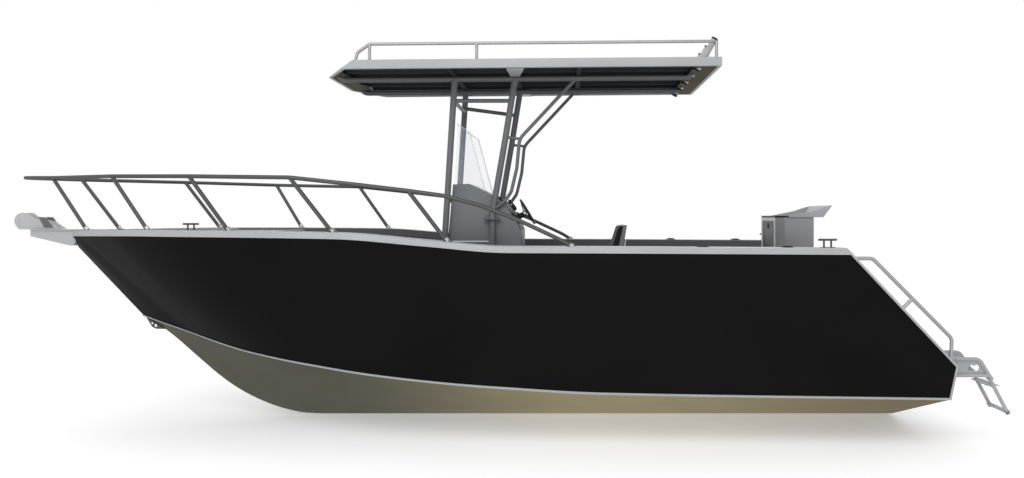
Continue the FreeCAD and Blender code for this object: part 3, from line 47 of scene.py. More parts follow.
bodyOf = {name: body for body, names in frame["record"]["behaviour"]["bodies"].items() for name in names}
draft = 0.33
print("frame loaded")


# Vectors scaled to length one.
def unit(vectors):
    vectors = np.asarray(vectors, dtype=float)
    return vectors / np.linalg.norm(vectors, axis=-1, keepdims=True)


# A direction square to the given one, and level unless that one is nearly upright.
def squareTo(axis):
    return unit(np.cross(axis, (0, 0, 1) if abs(axis[2]) < 0.9 else (1, 0, 0)))


# Points round a circle of radius one: the first direction times the cosine plus the second times the sine.
def circle(first, second, sides):
    turn = np.linspace(0, 2 * math.pi, sides, endpoint=False)[:, None]
    return np.cos(turn) * first + np.sin(turn) * second


# Shader values. A Field wraps a node's socket, and its operators make Math nodes.
class Field:
    def __init__(self, tree, value):
        self.tree = tree
        self.value = value

    def node(self, kind, values=None, output=0, **settings):
        made = self.tree.nodes.new(kind)
        for name, setting in settings.items():
            setattr(made, name, setting)
        for slot, value in (values or {}).items():
            if isinstance(value, Field):
                value = value.value
            if isinstance(value, bpy.types.NodeSocket):
                self.tree.links.new(value, made.inputs[slot])
            else:
                made.inputs[slot].default_value = value
        return Field(self.tree, made.outputs[output])

    def math(self, operation, other=0.0, third=0.0):
        return self.node("ShaderNodeMath", {0: self, 1: other, 2: third}, operation=operation)

    def __add__(self, other):
        return self.math("ADD", other)

    def __sub__(self, other):
        return self.math("SUBTRACT", other)

    def __rsub__(self, other):
        return self.node("ShaderNodeMath", {0: other, 1: self}, operation="SUBTRACT")

    def __mul__(self, other):
        return self.math("MULTIPLY", other)

    __radd__ = __add__
    __rmul__ = __mul__

    def above(self, edge):
        return self.math("GREATER_THAN", edge)

    def most(self, other):
        return self.math("MAXIMUM", other)

    def wave(self):
        return self.math("SINE")

    def ramp(self, low, high):
        return self.node("ShaderNodeMapRange", {0: self, 1: low, 2: high}, interpolation_type="SMOOTHSTEP")

    def mix(self, first, second):
        pair = [tuple(c) + (1.0,) if isinstance(c, (tuple, list)) else c for c in (first, second)]
        return self.node("ShaderNodeMix", {0: self, 6: pair[0], 7: pair[1]}, output=2, data_type="RGBA")


class Finish:
    # A new material with its object coordinates, noise and Principled shader at hand.
    def __init__(self, name, **sockets):
        self.material = bpy.data.materials.new(name)
        self.material.use_nodes = True
        tree = self.material.node_tree
        self.shader = next(n for n in tree.nodes if n.type == "BSDF_PRINCIPLED")
        self.output = next(n for n in tree.nodes if n.type == "OUTPUT_MATERIAL")
        self.start = Field(tree, None)
        self.place = self.start.node("ShaderNodeTexCoord", output="Object")
        self.set(**sockets)

    def set(self, **sockets):
        for name, value in sockets.items():
            slot = self.shader.inputs[name.replace("_", " ")]
            if isinstance(value, Field):
                self.material.node_tree.links.new(value.value, slot)
            else:
                slot.default_value = tuple(value) + (1.0,) if isinstance(value, (tuple, list)) else value
        return self

    def axis(self, letter):
        return self.start.node("ShaderNodeSeparateXYZ", {0: self.place}, output=letter)

    def stretched(self, x, y, z):
        return self.start.node("ShaderNodeMapping", {0: self.place, 3: (x, y, z)})

    def noise(self, scale, detail=2.0, place=None):
        return self.start.node("ShaderNodeTexNoise", {"Vector": place or self.place, "Scale": scale,
                                                      "Detail": detail}, output=0)

    def bump(self, height, distance, strength=1.0):
        normal = self.start.node("ShaderNodeBump", {"Strength": strength, "Distance": distance,
                                                    "Height": height})
        return self.set(Normal=normal)


def painted(name, colour, rough, variation=0.04, grain=0.0006, speck=900.0, coat=0.0, specular=0.4):
    # Paint whose colour drifts slowly, with a fine peel in its surface.
    made = Finish(name, Coat_Weight=coat, Specular_IOR_Level=specular)
    drift = made.noise(1.7, 4.0)
    dark = [c * (1 - variation) for c in colour]
    light = [min(1.0, c * (1 + variation)) for c in colour]
    made.set(Base_Color=drift.ramp(0.3, 0.7).mix(dark, light),
             Roughness=made.noise(35.0, 3.0) * 0.16 + (rough - 0.08))
    made.bump(made.noise(speck, 1.0), grain, 0.35)
    return made


def brushed(name, colour, rough, stretch, metallic=1.0, specular=0.5):
    # Satin metal, finely rubbed along one axis, with a slow haze.
    made = Finish(name, Metallic=metallic, Specular_IOR_Level=specular)
    streak = made.noise(420.0, 2.0, made.stretched(*stretch))
    haze = made.noise(2.6, 3.0)
    dark = [c * 0.9 for c in colour]
    made.set(Base_Color=(streak * 0.25 + haze * 0.75).ramp(0.3, 0.7).mix(dark, colour),
             Roughness=haze * 0.16 + streak * 0.06 + (rough - 0.11))
    made.bump(streak, 0.00004, 0.2)
    return made


topsidePaint = painted("topsidePaint", (0.0060, 0.0060, 0.0058), 0.56, 0.10, 0.0003, 420.0, specular=0.045)
deckPaint = painted("deckPaint", (0.43, 0.445, 0.46), 0.45)
# Coaming lining: dark grey, darkened further as painted shade on the coaming's inner face.
liningShadePaint = painted("liningShadePaint", (0.135, 0.140, 0.146), 0.55)
consolePaint = painted("consolePaint", (0.165, 0.175, 0.19), 0.42)
framePaint = painted("framePaint", (0.15, 0.157, 0.167), 0.42)
# Roof ribs: dark grey, darkened further as painted shade under the roof.
ribShadePaint = painted("ribShadePaint", (0.034, 0.038, 0.042), 0.7, specular=0.08)
doorSheet = painted("doorSheet", (0.075, 0.078, 0.080), 0.5)
seatPaint = painted("seatPaint", (0.20, 0.21, 0.22), 0.45)
cabinetPaint = painted("cabinetPaint", (0.275, 0.282, 0.30), 0.42)
sparPaint = painted("sparPaint", (0.50, 0.51, 0.52), 0.45)
railAlloy = brushed("railAlloy", (0.105, 0.112, 0.107), 0.5, (1, 1, 1), 0.8, 0.2)
sternAlloy = brushed("sternAlloy", (0.40, 0.405, 0.41), 0.42, (1, 1, 1), 0.8, 0.4)
cleatAlloy = brushed("cleatAlloy", (0.10, 0.105, 0.108), 0.4, (1, 1, 1), 0.7, 0.3)
steel = brushed("steel", (0.46, 0.47, 0.48), 0.28, (1, 1, 6))
blackPlastic = painted("blackPlastic", (0.012, 0.012, 0.013), 0.5, 0.1, 0.0004, 700.0, specular=0.3)
whiteBoard = painted("whiteBoard", (0.40, 0.41, 0.43), 0.5, 0.03, 0.0004, 500.0)
palePaint = painted("palePaint", (0.84, 0.85, 0.86), 0.45)
rollerRubber = painted("rollerRubber", (0.012, 0.012, 0.012), 0.7, 0.15, 0.0006, 300.0, specular=0.3)


def makeBareAlloy():
    # Mill plate: grey green forward and more olive aft, with rolling streaks along the hull. Aft it is brighter, a
    # painted highlight standing in for light that the flatter aft bottom lacks, and it is darker again toward the
    # stern.
    made = Finish("bareAlloy", Metallic=0.85, Specular_IOR_Level=0.3, Specular_Tint=(0.62, 0.58, 0.46))
    along = made.axis("X").ramp(-1.1, 0.9)
    streak = made.noise(9.0, 4.0, made.stretched(0.25, 2.0, 3.0))
    blotch = made.noise(2.2, 3.0)
    # Painted highlight: the aft colour is brighter than the plate to stand in for light on the flatter aft bottom;
    # the stern end is darker.
    toneWithPaintedLight = made.axis("X").ramp(1.0, 3.4).mix(along.mix((0.100, 0.107, 0.097), (0.330, 0.285, 0.175)),
                                             (0.150, 0.115, 0.060))
    shade = (streak * 0.5 + blotch * 0.5).ramp(0.3, 0.7).mix((0.88, 0.88, 0.88), (1.08, 1.08, 1.08))
    colour = made.start.node("ShaderNodeMix", {0: 1.0, 6: toneWithPaintedLight, 7: shade}, output=2, data_type="RGBA",
                             blend_type="MULTIPLY")
    made.set(Base_Color=colour, Roughness=streak * 0.2 + 0.38)
    made.bump(streak, 0.0008, 0.15)
    return made


def makeRoofSheet():
    # Pale paint on top; underneath, dark under the bay as painted shade, and olive tan on the closed panels at both
    # ends as a painted reflection. The height is measured from the roof's underside, which rises evenly toward the
    # stern.
    made = Finish("roofSheet", Specular_IOR_Level=0.08)
    height = made.axis("Z") - (made.axis("X") * 0.00858 + 2.4066)
    ends = 1 - height.above(0.03)
    drift = made.noise(3.0, 3.0).ramp(0.3, 0.7)
    # Underneath: painted shade under the bay, and a painted olive tan reflection on the closed end panels.
    under = ends.mix(drift.mix((0.030, 0.034, 0.037), (0.036, 0.040, 0.044)),
                     drift.mix((0.080, 0.069, 0.040), (0.098, 0.085, 0.052)))
    made.set(Base_Color=height.above(0.063).mix(under, drift.mix((0.41, 0.425, 0.44), (0.45, 0.465, 0.48))),
             Roughness=made.noise(24.0, 2.0) * 0.14 + 0.6)
    made.bump(made.noise(600.0, 1.0), 0.0004, 0.3)
    return made


def makeDeckLining():
    # Non-slip lining: a small raised diamond pattern.
    made = Finish("deckLining", Specular_IOR_Level=0.3)
    first = (made.axis("X") + made.axis("Y")) * 420.0
    second = (made.axis("X") - made.axis("Y")) * 420.0
    pattern = first.wave() * second.wave()
    made.set(Base_Color=made.noise(2.5, 3.0).ramp(0.3, 0.7).mix((0.10, 0.105, 0.11), (0.13, 0.135, 0.14)),
             Roughness=made.noise(30.0) * 0.2 + 0.6)
    made.bump(pattern, 0.0008, 0.6)
    return made


def makeVinyl():
    # Marine vinyl with a fine leather grain.
    made = Finish("vinyl", Specular_IOR_Level=0.2)
    cells = made.start.node("ShaderNodeTexVoronoi", {"Vector": made.place, "Scale": 420.0}, output=0)
    made.set(Base_Color=made.noise(6.0, 3.0).ramp(0.3, 0.7).mix((0.008, 0.008, 0.009), (0.014, 0.014, 0.015)),
             Roughness=cells * 0.2 + 0.5)
    made.bump(cells, 0.0005, 0.35)
    return made


def makeGlass():
    # Clear sheet with a faint cool tint, and broad patches, the haze, painted paler and less clear as painted
    # reflections.
    made = Finish("clearSheet", Specular_IOR_Level=0.5)
    haze = made.noise(2.0, 2.0, made.stretched(1.0, 1.0, 0.35)).ramp(0.42, 0.62)
    made.set(Base_Color=haze.mix((0.60, 0.70, 0.92), (0.88, 0.94, 1.0)), Roughness=made.noise(8.0) * 0.05 + 0.03,
             Alpha=haze * 0.10 + 0.07)
    return made


def makeTrim():
    # Frosted edging of the clear sheet.
    made = Finish("edgeTrim", Specular_IOR_Level=0.4)
    made.set(Base_Color=made.noise(5.0).mix((0.70, 0.72, 0.74), (0.80, 0.82, 0.84)),
             Roughness=made.noise(30.0) * 0.2 + 0.4, Alpha=made.noise(9.0) * 0.1 + 0.2)
    return made


bareAlloy = makeBareAlloy()
roofSheet = makeRoofSheet()
edgeTrim = makeTrim()
deckLining = makeDeckLining()
vinyl = makeVinyl()
clearSheet = makeGlass()
screenGlass = painted("screenGlass", (0.006, 0.008, 0.012), 0.12, 0.05, 0.0, 100.0, coat=0.6, specular=0.5)

# The nodes of each finish, where it isn't plain deck paint, and how wide some nodes' sharp edges are rounded
finishNodes = (
    (liningShadePaint, "coaming_liners"), (deckLining, "cockpit_sole swim_platform sole_hatch_lid"),
    (sparPaint, "bowsprit roller_bracket roof_rod_holders"), (rollerRubber, "bow_roller"),
    (bareAlloy, "bow_eye_plate hull_bottom"), (cleatAlloy, "mooring_cleats"), (railAlloy, "bow_rail"),
    (sternAlloy, "stern_rails roof_rail"), (roofSheet, "roof_skin"), (ribShadePaint, "roof_ribs"),
    (framePaint, "roof_fore_legs roof_aft_legs roof_struts"), (consolePaint, "console_shell console_door"),
    (clearSheet, "windscreen"), (blackPlastic, "steering_wheel throttle_control gunwale_rod_holders"),
    (seatPaint, "helm_seat_base"), (vinyl, "helm_seat_cushion helm_seat_backrest"), (steel, "helm_seat_brackets"),
    (cabinetPaint, "bait_cabinet"), (doorSheet, "bait_door"), (whiteBoard, "bait_board"),
    (topsidePaint, "topsides"),
)
roundedNodes = {
    "foredeck": 0.003, "aft_bulkhead": 0.004, "transom_plate": 0.003, "anchor_locker_lid": 0.003,
    "sole_hatch_lid": 0.003, "transom_gate": 0.004, "engine_board": 0.005, "bowsprit": 0.003,
    "roller_bracket": 0.0015, "bow_eye_plate": 0.002, "stern_edgings": 0.0025, "roof_fascia": 0.005,
    "roof_ribs": 0.002, "roof_rod_holders": 0.0008, "console_shell": 0.005, "console_door": 0.003,
    "helm_seat_base": 0.006, "helm_seat_brackets": 0.002, "bait_cabinet": 0.005, "bait_door": 0.003,
    "bait_board": 0.002, "windscreen": 0.0015,
}
nodeFinish = {name: finish for finish, names in finishNodes for name in names.split()}
for name in slotOf:
    nodes[name].data.materials.clear()
    nodes[name].data.materials.append(nodeFinish.get(name, deckPaint).material)
print("finishes made")


# Camera, light, floor and background. A lamp is its place, size and power, and all aim at one point.
studio = {
    "lamps": {"keyLight": ((-2.2, -7.5, 5.6), 6.0, 190.0), "fillLight": ((1.4, -8.5, 0.25), 1.1, 60.0),
              "backLight": ((2.0, 6.5, 6.0), 5.0, 120.0)},
    "aim": (0.3, 0.0, 0.4), "gap": 0.012, "lift": 0.32, "eye": (0.640, -8.2, 1.316), "lens": 34.73,
    "shift": (-0.0537, -0.0234),
}


# Whether the camera, a reflection or a clear surface looks along this ray, each 0 or 1.
def rayKinds(start):
    return [start.node("ShaderNodeLightPath", output="Is %s Ray" % kind)
            for kind in ("Camera", "Glossy", "Transmission")]


def makeStage(sizes=studio):
    scene = bpy.context.scene
    camera = bpy.data.cameras.new("camera")
    camera.lens = sizes["lens"]
    camera.sensor_width = 36.0
    camera.shift_x, camera.shift_y = sizes["shift"]
    camera.clip_end = 200.0
    eye = bpy.data.objects.new("camera", camera)
    eye.location = sizes["eye"]
    eye.rotation_euler = (math.pi / 2, 0, 0)
    scene.collection.objects.link(eye)
    scene.camera = eye

    # The world is white where it is seen, directly or in metal and glass, and lights the boat from above.
    world = bpy.data.worlds.new("studio")
    world.use_nodes = True
    scene.world = world
    start = Field(world.node_tree, None)
    background = next(n for n in world.node_tree.nodes if n.type == "BACKGROUND")
    direct, glossy, through = rayKinds(start)
    height = start.node("ShaderNodeSeparateXYZ",
                        {0: start.node("ShaderNodeTexCoord", output="Generated")}, output="Z")
    glow = height.ramp(-0.4, 0.9).mix((0.42, 0.42, 0.42), (0.82, 0.82, 0.82))
    seen = direct.most(glossy).most(through)
    world.node_tree.links.new(seen.mix(glow, (1.0, 1.0, 1.0)).value, background.inputs["Color"])
    background.inputs["Strength"].default_value = 1.0

    for name, (spot, size, power) in sizes["lamps"].items():
        lamp = bpy.data.lights.new(name, "AREA")
        lamp.shape = "DISK"
        lamp.size = size
        lamp.energy = power
        holder = bpy.data.objects.new(name, lamp)
        holder.location = spot
        holder.rotation_euler = (Vector(sizes["aim"]) - Vector(spot)).to_track_quat("-Z", "Y").to_euler()
        scene.collection.objects.link(holder)

    plane = bpy.data.meshes.new("floor")
    far, low = 60.0, -draft - sizes["gap"]
    plane.from_pydata([(-far, -far, low), (far, -far, low), (far, far, low), (-far, far, low)], [], [(0, 1, 2, 3)])
    floor = bpy.data.objects.new("floor", plane)
    scene.collection.objects.link(floor)
    pale = Finish("paleFloor", Specular_IOR_Level=0.0)
    direct, glossy, through = rayKinds(pale.start)
    lift = (sizes["lift"],) * 3
    pale.set(Base_Color=pale.noise(0.6, 2.0).ramp(0.2, 0.8).mix((0.90, 0.90, 0.90), (0.92, 0.92, 0.92)),
             Roughness=0.9, Emission_Color=direct.mix((0.0, 0.0, 0.0), lift),
             Emission_Strength=1.0)
    white = pale.start.node("ShaderNodeEmission", {"Color": (1.0, 1.0, 1.0, 1.0), "Strength": 1.0})
    both = pale.start.node("ShaderNodeMixShader", {0: glossy.most(through), 1: pale.shader.outputs[0], 2: white})
    pale.material.node_tree.links.new(both.value, pale.output.inputs["Surface"])
    plane.materials.append(pale.material)


makeStage()
bpy.context.scene.view_settings.view_transform = "Standard"
print("stage made")


# Meshes. Every piece is built at its place in the row frame, in metres.
# A mesh is cleaned in place: doubles are merged, and then flat facets are joined up to an angle, if one is given.
# Otherwise its faces turn outward.
def clean(mesh, merge=1e-5, flat=None):
    built = bmesh.new()
    built.from_mesh(mesh)
    bmesh.ops.remove_doubles(built, verts=built.verts, dist=merge)
    if flat is None:
        bmesh.ops.dissolve_degenerate(built, edges=built.edges, dist=1e-6)
        bmesh.ops.recalc_face_normals(built, faces=built.faces)
    else:
        bmesh.ops.dissolve_limit(built, angle_limit=math.radians(flat), verts=built.verts, edges=built.edges)
    built.to_mesh(mesh)
    built.free()


# An object in the scene, with its finish and its body, in place of the nodes that it stands for.
def rigged(piece, finish, body, replaces=()):
    piece.data.materials.clear()
    piece.data.materials.append(finish.material)
    if piece.name not in bpy.context.scene.collection.objects:
        bpy.context.scene.collection.objects.link(piece)
    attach(piece, body)
    if replaces:
        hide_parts(*replaces)
    return piece


# Sharp edges become narrow rounds. Facets of a round surface turn by less than the limit.
def roundEdges(piece, width, limit=17.0):
    rounds = piece.modifiers.new("rounds", "BEVEL")
    rounds.width = width
    rounds.segments = 2
    rounds.limit_method = "ANGLE"
    rounds.angle_limit = math.radians(limit)
    rounds.harden_normals = True


# Points round a rectangle with rounded corners: a quarter circle about each corner's centre.
def roundedLoop(half, corner, steps=6):
    turn = np.linspace(0, math.pi / 2, steps)[None] + np.arange(4)[:, None] * math.pi / 2
    signs = np.array(((1, 1), (-1, 1), (-1, -1), (1, -1)))[:, None]
    centres = signs * (np.asarray(half) - corner)
    return (centres + corner * np.stack([np.cos(turn), np.sin(turn)], -1)).reshape(-1, 2)


class Build:
    # Points and faces gathered from several closed forms, for one piece.
    def __init__(self):
        self.points = []
        self.faces = []

    def add(self, points, faces):
        start = len(self.points)
        self.points += np.asarray(points, dtype=float).reshape(-1, 3).tolist()
        self.faces += [tuple(start + corner for corner in face) for face in faces]
        return self

    # A grid of points [step, around, xyz], closed around its second direction and capped at both ends.
    # A folded section is capped with one quad for each pair of opposite sides.
    def skin(self, grid, capped=True, folded=False):
        steps, around = grid.shape[:2]
        corner = np.arange((steps - 1) * around).reshape(-1, around)
        after = np.roll(corner, -1, 1)
        faces = np.stack([corner, after, after + around, corner + around], -1).reshape(-1, 4).tolist()
        for first in (0, (steps - 1) * around) if capped else ():
            if folded:
                faces += [(first + k, first + k + 1, first + around - 2 - k, first + around - 1 - k)
                          for k in range(around // 2 - 1)]
            else:
                faces.append(range(first, first + around))
        return self.add(grid, faces)

    # A round tube along points, with a ring at each that stands square to the path.
    def tube(self, points, radius, sides=14):
        points = np.asarray(points, dtype=float)
        runs = unit(np.diff(points, axis=0))
        headings = unit(np.vstack([runs[:1], runs[:-1] + runs[1:], runs[-1:]]))
        side = squareTo(headings[0])
        rings = []
        for point, heading, reach in zip(points, headings, np.broadcast_to(radius, (len(points),))):
            side = unit(side - heading * side.dot(heading))
            rings.append(point + reach * circle(side, np.cross(heading, side), sides))
        return self.skin(np.array(rings))

    # A profile of (radius, distance along the axis) turned about an axis.
    def turned(self, centre, axis, profile, sides=40, capped=True):
        axis = unit(axis)
        side = squareTo(axis)
        ring = circle(side, np.cross(axis, side), sides)
        return self.skin(np.array([np.asarray(centre) + axis * along + ring * radius for radius, along in profile]),
                         capped)

    # A box between two corners.
    def block(self, low, high):
        (x0, y0, z0), (x1, y1, z1) = low, high
        return self.prism(((x0, y0), (x1, y0), (x1, y1), (x0, y1)), 2, z0, z1)

    # An outline pushed along one axis. It is given in the other two axes, in their usual order.
    def prism(self, outline, axis, low, high):
        outline = np.asarray(outline, dtype=float)
        grid = np.zeros((2, len(outline), 3))
        grid[..., [a for a in range(3) if a != axis]] = outline
        grid[0, :, axis], grid[1, :, axis] = low, high
        return self.skin(grid)

    # A plate with rounded corners, from its centre, two directions, its half sizes and its thickness outward.
    # With a width, or one each for its sides and its ends, it is a frame, open in the middle.
    def plate(self, centre, across, up, half, corner, thick, outward, width=None):
        centre, flat = np.asarray(centre), np.array([across, up], dtype=float)
        rise = np.asarray(outward, dtype=float) * thick
        outer = centre + roundedLoop(half, corner) @ flat
        if width is None:
            return self.skin(np.array([outer, outer + rise]))
        side, top = np.broadcast_to(width, (2,))
        inner = centre + roundedLoop((half[0] - side, half[1] - top), max(corner - side, 0.004)) @ flat
        return self.skin(np.array([outer, outer + rise, inner + rise, inner, outer]), False)

    # A band of rectangular section along a line square to an axis, between two places on that axis, with its
    # thickness to the line's left.
    def band(self, line, thick, low, high, axis=2):
        line = np.asarray(line, dtype=float)
        run = unit(np.gradient(line, axis=0))
        edge = line + np.stack([-run[:, 1], run[:, 0]], 1) * thick
        grid = np.empty((len(line), 4, 3))
        grid[..., [a for a in range(3) if a != axis]] = np.stack([line, edge, edge, line], 1)
        grid[..., axis] = low, low, high, high
        return self.skin(grid)

    # A closed tube round a loop of points.
    def hoop(self, points, radius, normal, sides=12):
        points, normal = np.asarray(points, dtype=float), unit(normal)
        side = np.cross(unit(np.roll(points, -1, 0) - np.roll(points, 1, 0)), normal)
        grid = points[:, None] + radius * circle(side[:, None], normal, sides)
        return self.skin(np.concatenate([grid, grid[:1]]), capped=False)

    # The same again on the other side of the centreline.
    def twin(self):
        return self.add(np.array(self.points) * (1, -1, 1), [face[::-1] for face in self.faces])

    # The gathered forms as one finished object. Edges that turn by more than the angle stay sharp, or are rounded
    # where a width is given.
    def piece(self, name, slot, finish, body="hull", replaces=(), angle=35.0, edge=0.0):
        mesh = bpy.data.meshes.new(name)
        mesh.from_pydata(self.points, [], self.faces)
        clean(mesh)
        mesh.shade_smooth()
        mesh.set_sharp_from_angle(angle=math.radians(angle))
        made = rigged(bpy.data.objects.new(name, mesh), finish, body, replaces)
        if edge:
            roundEdges(made, edge)


# A curve through points whose slopes are the harmonic mean of the runs beside them, so it never swings past
# a point. The parameter is the index of the point.
class Fair:
    def __init__(self, points):
        self.points = np.asarray(points, dtype=float)
        self.span = np.linalg.norm(np.diff(self.points, axis=0), axis=1)
        slope = np.diff(self.points, axis=0) / self.span[:, None]
        same = slope[:-1] * slope[1:] > 0
        total = np.where(same, slope[:-1] + slope[1:], 1.0)
        blended = np.where(same, 2 * slope[:-1] * slope[1:] / total, 0.0)
        self.slopes = np.vstack([slope[:1], blended, slope[-1:]])

    def __call__(self, t):
        t = np.asarray(t, dtype=float)
        cell = np.clip(np.floor(t).astype(int), 0, len(self.span) - 1)
        u = (t - cell)[..., None]
        span = self.span[cell][..., None]
        start, end = self.points[cell], self.points[cell + 1]
        first, last = self.slopes[cell] * span, self.slopes[cell + 1] * span
        return ((2 * u ** 3 - 3 * u ** 2 + 1) * start + (u ** 3 - 2 * u ** 2 + u) * first
                + (3 * u ** 2 - 2 * u ** 3) * end + (u ** 3 - u ** 2) * last)


# Hull lines, as in the CAD: chine X, half, height, keel height, sheer X, half, height, knuckle, rim
hullTable = np.array([
    (-2868, 0, 808, 808, -3435, 0, 1519, 59, 45),
    (-2692, 100, 769, 700, -3410, 100, 1520, 30, 45),
    (-2393, 250, 703, 447, -3260, 270, 1523, 0, 45),
    (-2234, 345, 668, 313, -3060, 450, 1527, 0, 45),
    (-2065, 438, 631, 197, -2810, 650, 1531, 0, 50),
    (-1875, 535, 593, 102, -2560, 790, 1533, 0, 60),
    (-1704, 615, 567, 42, -2260, 915, 1532, 0, 95),
    (-1514, 692, 540, 6, -1960, 1000, 1531, 0, 145),
    (-1344, 755, 519, 0, -1660, 1065, 1529, 0, 190),
    (-744, 930, 454, 0, -1030, 1155, 1521, 0, 190),
    (-138, 1020, 405, 0, -380, 1184, 1470, 0, 190),
    (200, 1045, 384, 0, 215, 1200, 1424, 0, 190),
    (878, 1070, 350, 0, 874, 1200, 1421, 0, 190),
    (3451, 1090, 313, 0, 3500, 1200, 1406, 0, 190),
]) / 1000.0
lastStation = len(hullTable) - 1

# The transom's foot and rake, the raked edge of the side, the plates, and the sections swept along the hull. A
# section is offsets from its line: up and out for the strip, and in and up for the gunwale, whose inner points add
# the rim's width.
hullSizes = {
    "transom": (3.337, 0.17), "slope": ((2.654, 1.361), (3.431, 0.556)), "edging": 0.016, "gunwaleDrop": 0.047,
    "knuckleAt": 0.88, "shares": (0.0, 0.1, 0.2319, 0.34, 0.46, 0.58, 0.70, 0.80, 0.86, 0.90, 0.94, 1.0),
    "sidePlate": 0.024, "bottomPlate": 0.025, "bottomRows": 9,
    "stripUp": (0.0, 0.013, 0.016, 0.016, 0.0), "stripOut": (0.008, 0.008, 0.004, 0.0, 0.0),
    "gunwaleIn": (-0.004, -0.004, 0.0, 0.006, 0.0, 0.0, -0.020, -0.020, 0.024, 0.024),
    "gunwaleUp": (-0.047, -0.006, -0.001, 0.0, 0.0, -0.060, -0.060, -0.020, -0.020, -0.047),
    "gunwaleRim": (0, 0, 0, 0, 1, 1, 1, 1, 0, 0), "lipFrom": 5.6, "lipGrowth": 2.5, "lip": 0.04,
    "facingIn": (-0.003, 0.0015, 0.0015, -0.003), "facingUp": (-0.004, -0.004, -0.021, -0.021),
    "facingEnd": 0.02, "facingSteps": 110,
}


# The line through three columns of the table: along, to port, and up from the keel.
def hullLine(columns, side=-1):
    return Fair(hullTable[:, columns] * (1, side, 1) - (0, 0, draft))


chineLine, keelLine, sheerLine = hullLine((0, 1, 2)), hullLine((0, 1, 3), 0), hullLine((4, 5, 6))
rimLine = Fair(np.stack([hullTable[:, 8], hullTable[:, 7], np.arange(len(hullTable)) * 0.1], 1))


# The inward direction, square to the gunwale in plan. At the stem it keeps both sides meeting on the centreline.
def inwardAt(t, step=0.01, stemEnd=0.6):
    run = sheerLine(np.minimum(t + step, lastStation)) - sheerLine(np.maximum(t - step, 0))
    normal = unit(np.stack([-run[..., 1], run[..., 0], 0 * run[..., 0]], -1))
    blend = np.clip(t / stemEnd, 0, 1)[..., None]
    stem = np.stack([1 / normal[..., 0].clip(0.3), 0 * normal[..., 0], 0 * normal[..., 0]], -1)
    return stem * (1 - blend) + normal * blend


# A point on the topside, from the chine at 0 to the underside of the gunwale's strip at 1. It stands out forward by
# the knuckle's depth, which grows evenly up to its share of the height and then falls to nothing.
def sidePoint(t, share, sizes=hullSizes):
    low = chineLine(t)
    high = sheerLine(t) - np.array((0, 0, sizes["gunwaleDrop"]))
    top = sizes["knuckleAt"]
    bend = np.where(share < top, share / top, (1 - share) / (1 - top))[..., None]
    point = low + (high - low) * share[..., None]
    point[..., 0:1] -= rimLine(t)[..., 1:2] * bend
    return point


# How far a point lies aft of the transom: its X less the foot's, and less the rake times its height.
def behindTransom(point, forward=0.0, sizes=hullSizes):
    foot, rake = sizes["transom"]
    return point[..., 0] - (foot + rake * (point[..., 2] + draft) - forward)


# How far a point lies above and aft of the side's raked edge.
def aboveSlope(point, sizes=hullSizes):
    upper, lower = np.array(sizes["slope"]) - (0, draft)
    run = unit(lower - upper)
    return (point[..., 0] - upper[0]) * -run[1] + (point[..., 2] - upper[1]) * run[0]


# For each row, the last parameter before the end test turns positive, by halving from a station well forward.
def rowEnds(rowPoint, count, test, forward=9.0, halvings=40):
    rows = np.arange(count)
    low, high = np.full(count, forward), np.full(count, float(lastStation))
    for _ in range(halvings):
        middle = (low + high) / 2
        past = test(rowPoint(middle, rows)) > 0
        high = np.where(past, middle, high)
        low = np.where(past, low, middle)
    return low


# Rows run from the stem to their own end, with the same share of the way at each step, and closer steps forward.
def sweptRows(rowPoint, count, test, steps=150, start=0.0, crowding=1.15):
    ends = rowEnds(rowPoint, count, test)
    rows = np.arange(count)
    return np.array([rowPoint(start + (ends - start) * at, rows) for at in np.linspace(0, 1, steps) ** crowding])


# A swept skin and its mirror image, as one piece of the hull.
def bothSides(name, grid, slot, finish, replaces=(), angle=35.0, folded=False):
    made = Build().skin(grid, folded=folded).skin(grid[:, ::-1] * np.array((1, -1, 1)), folded=folded)
    made.piece(name, slot, finish, replaces=replaces, angle=angle)


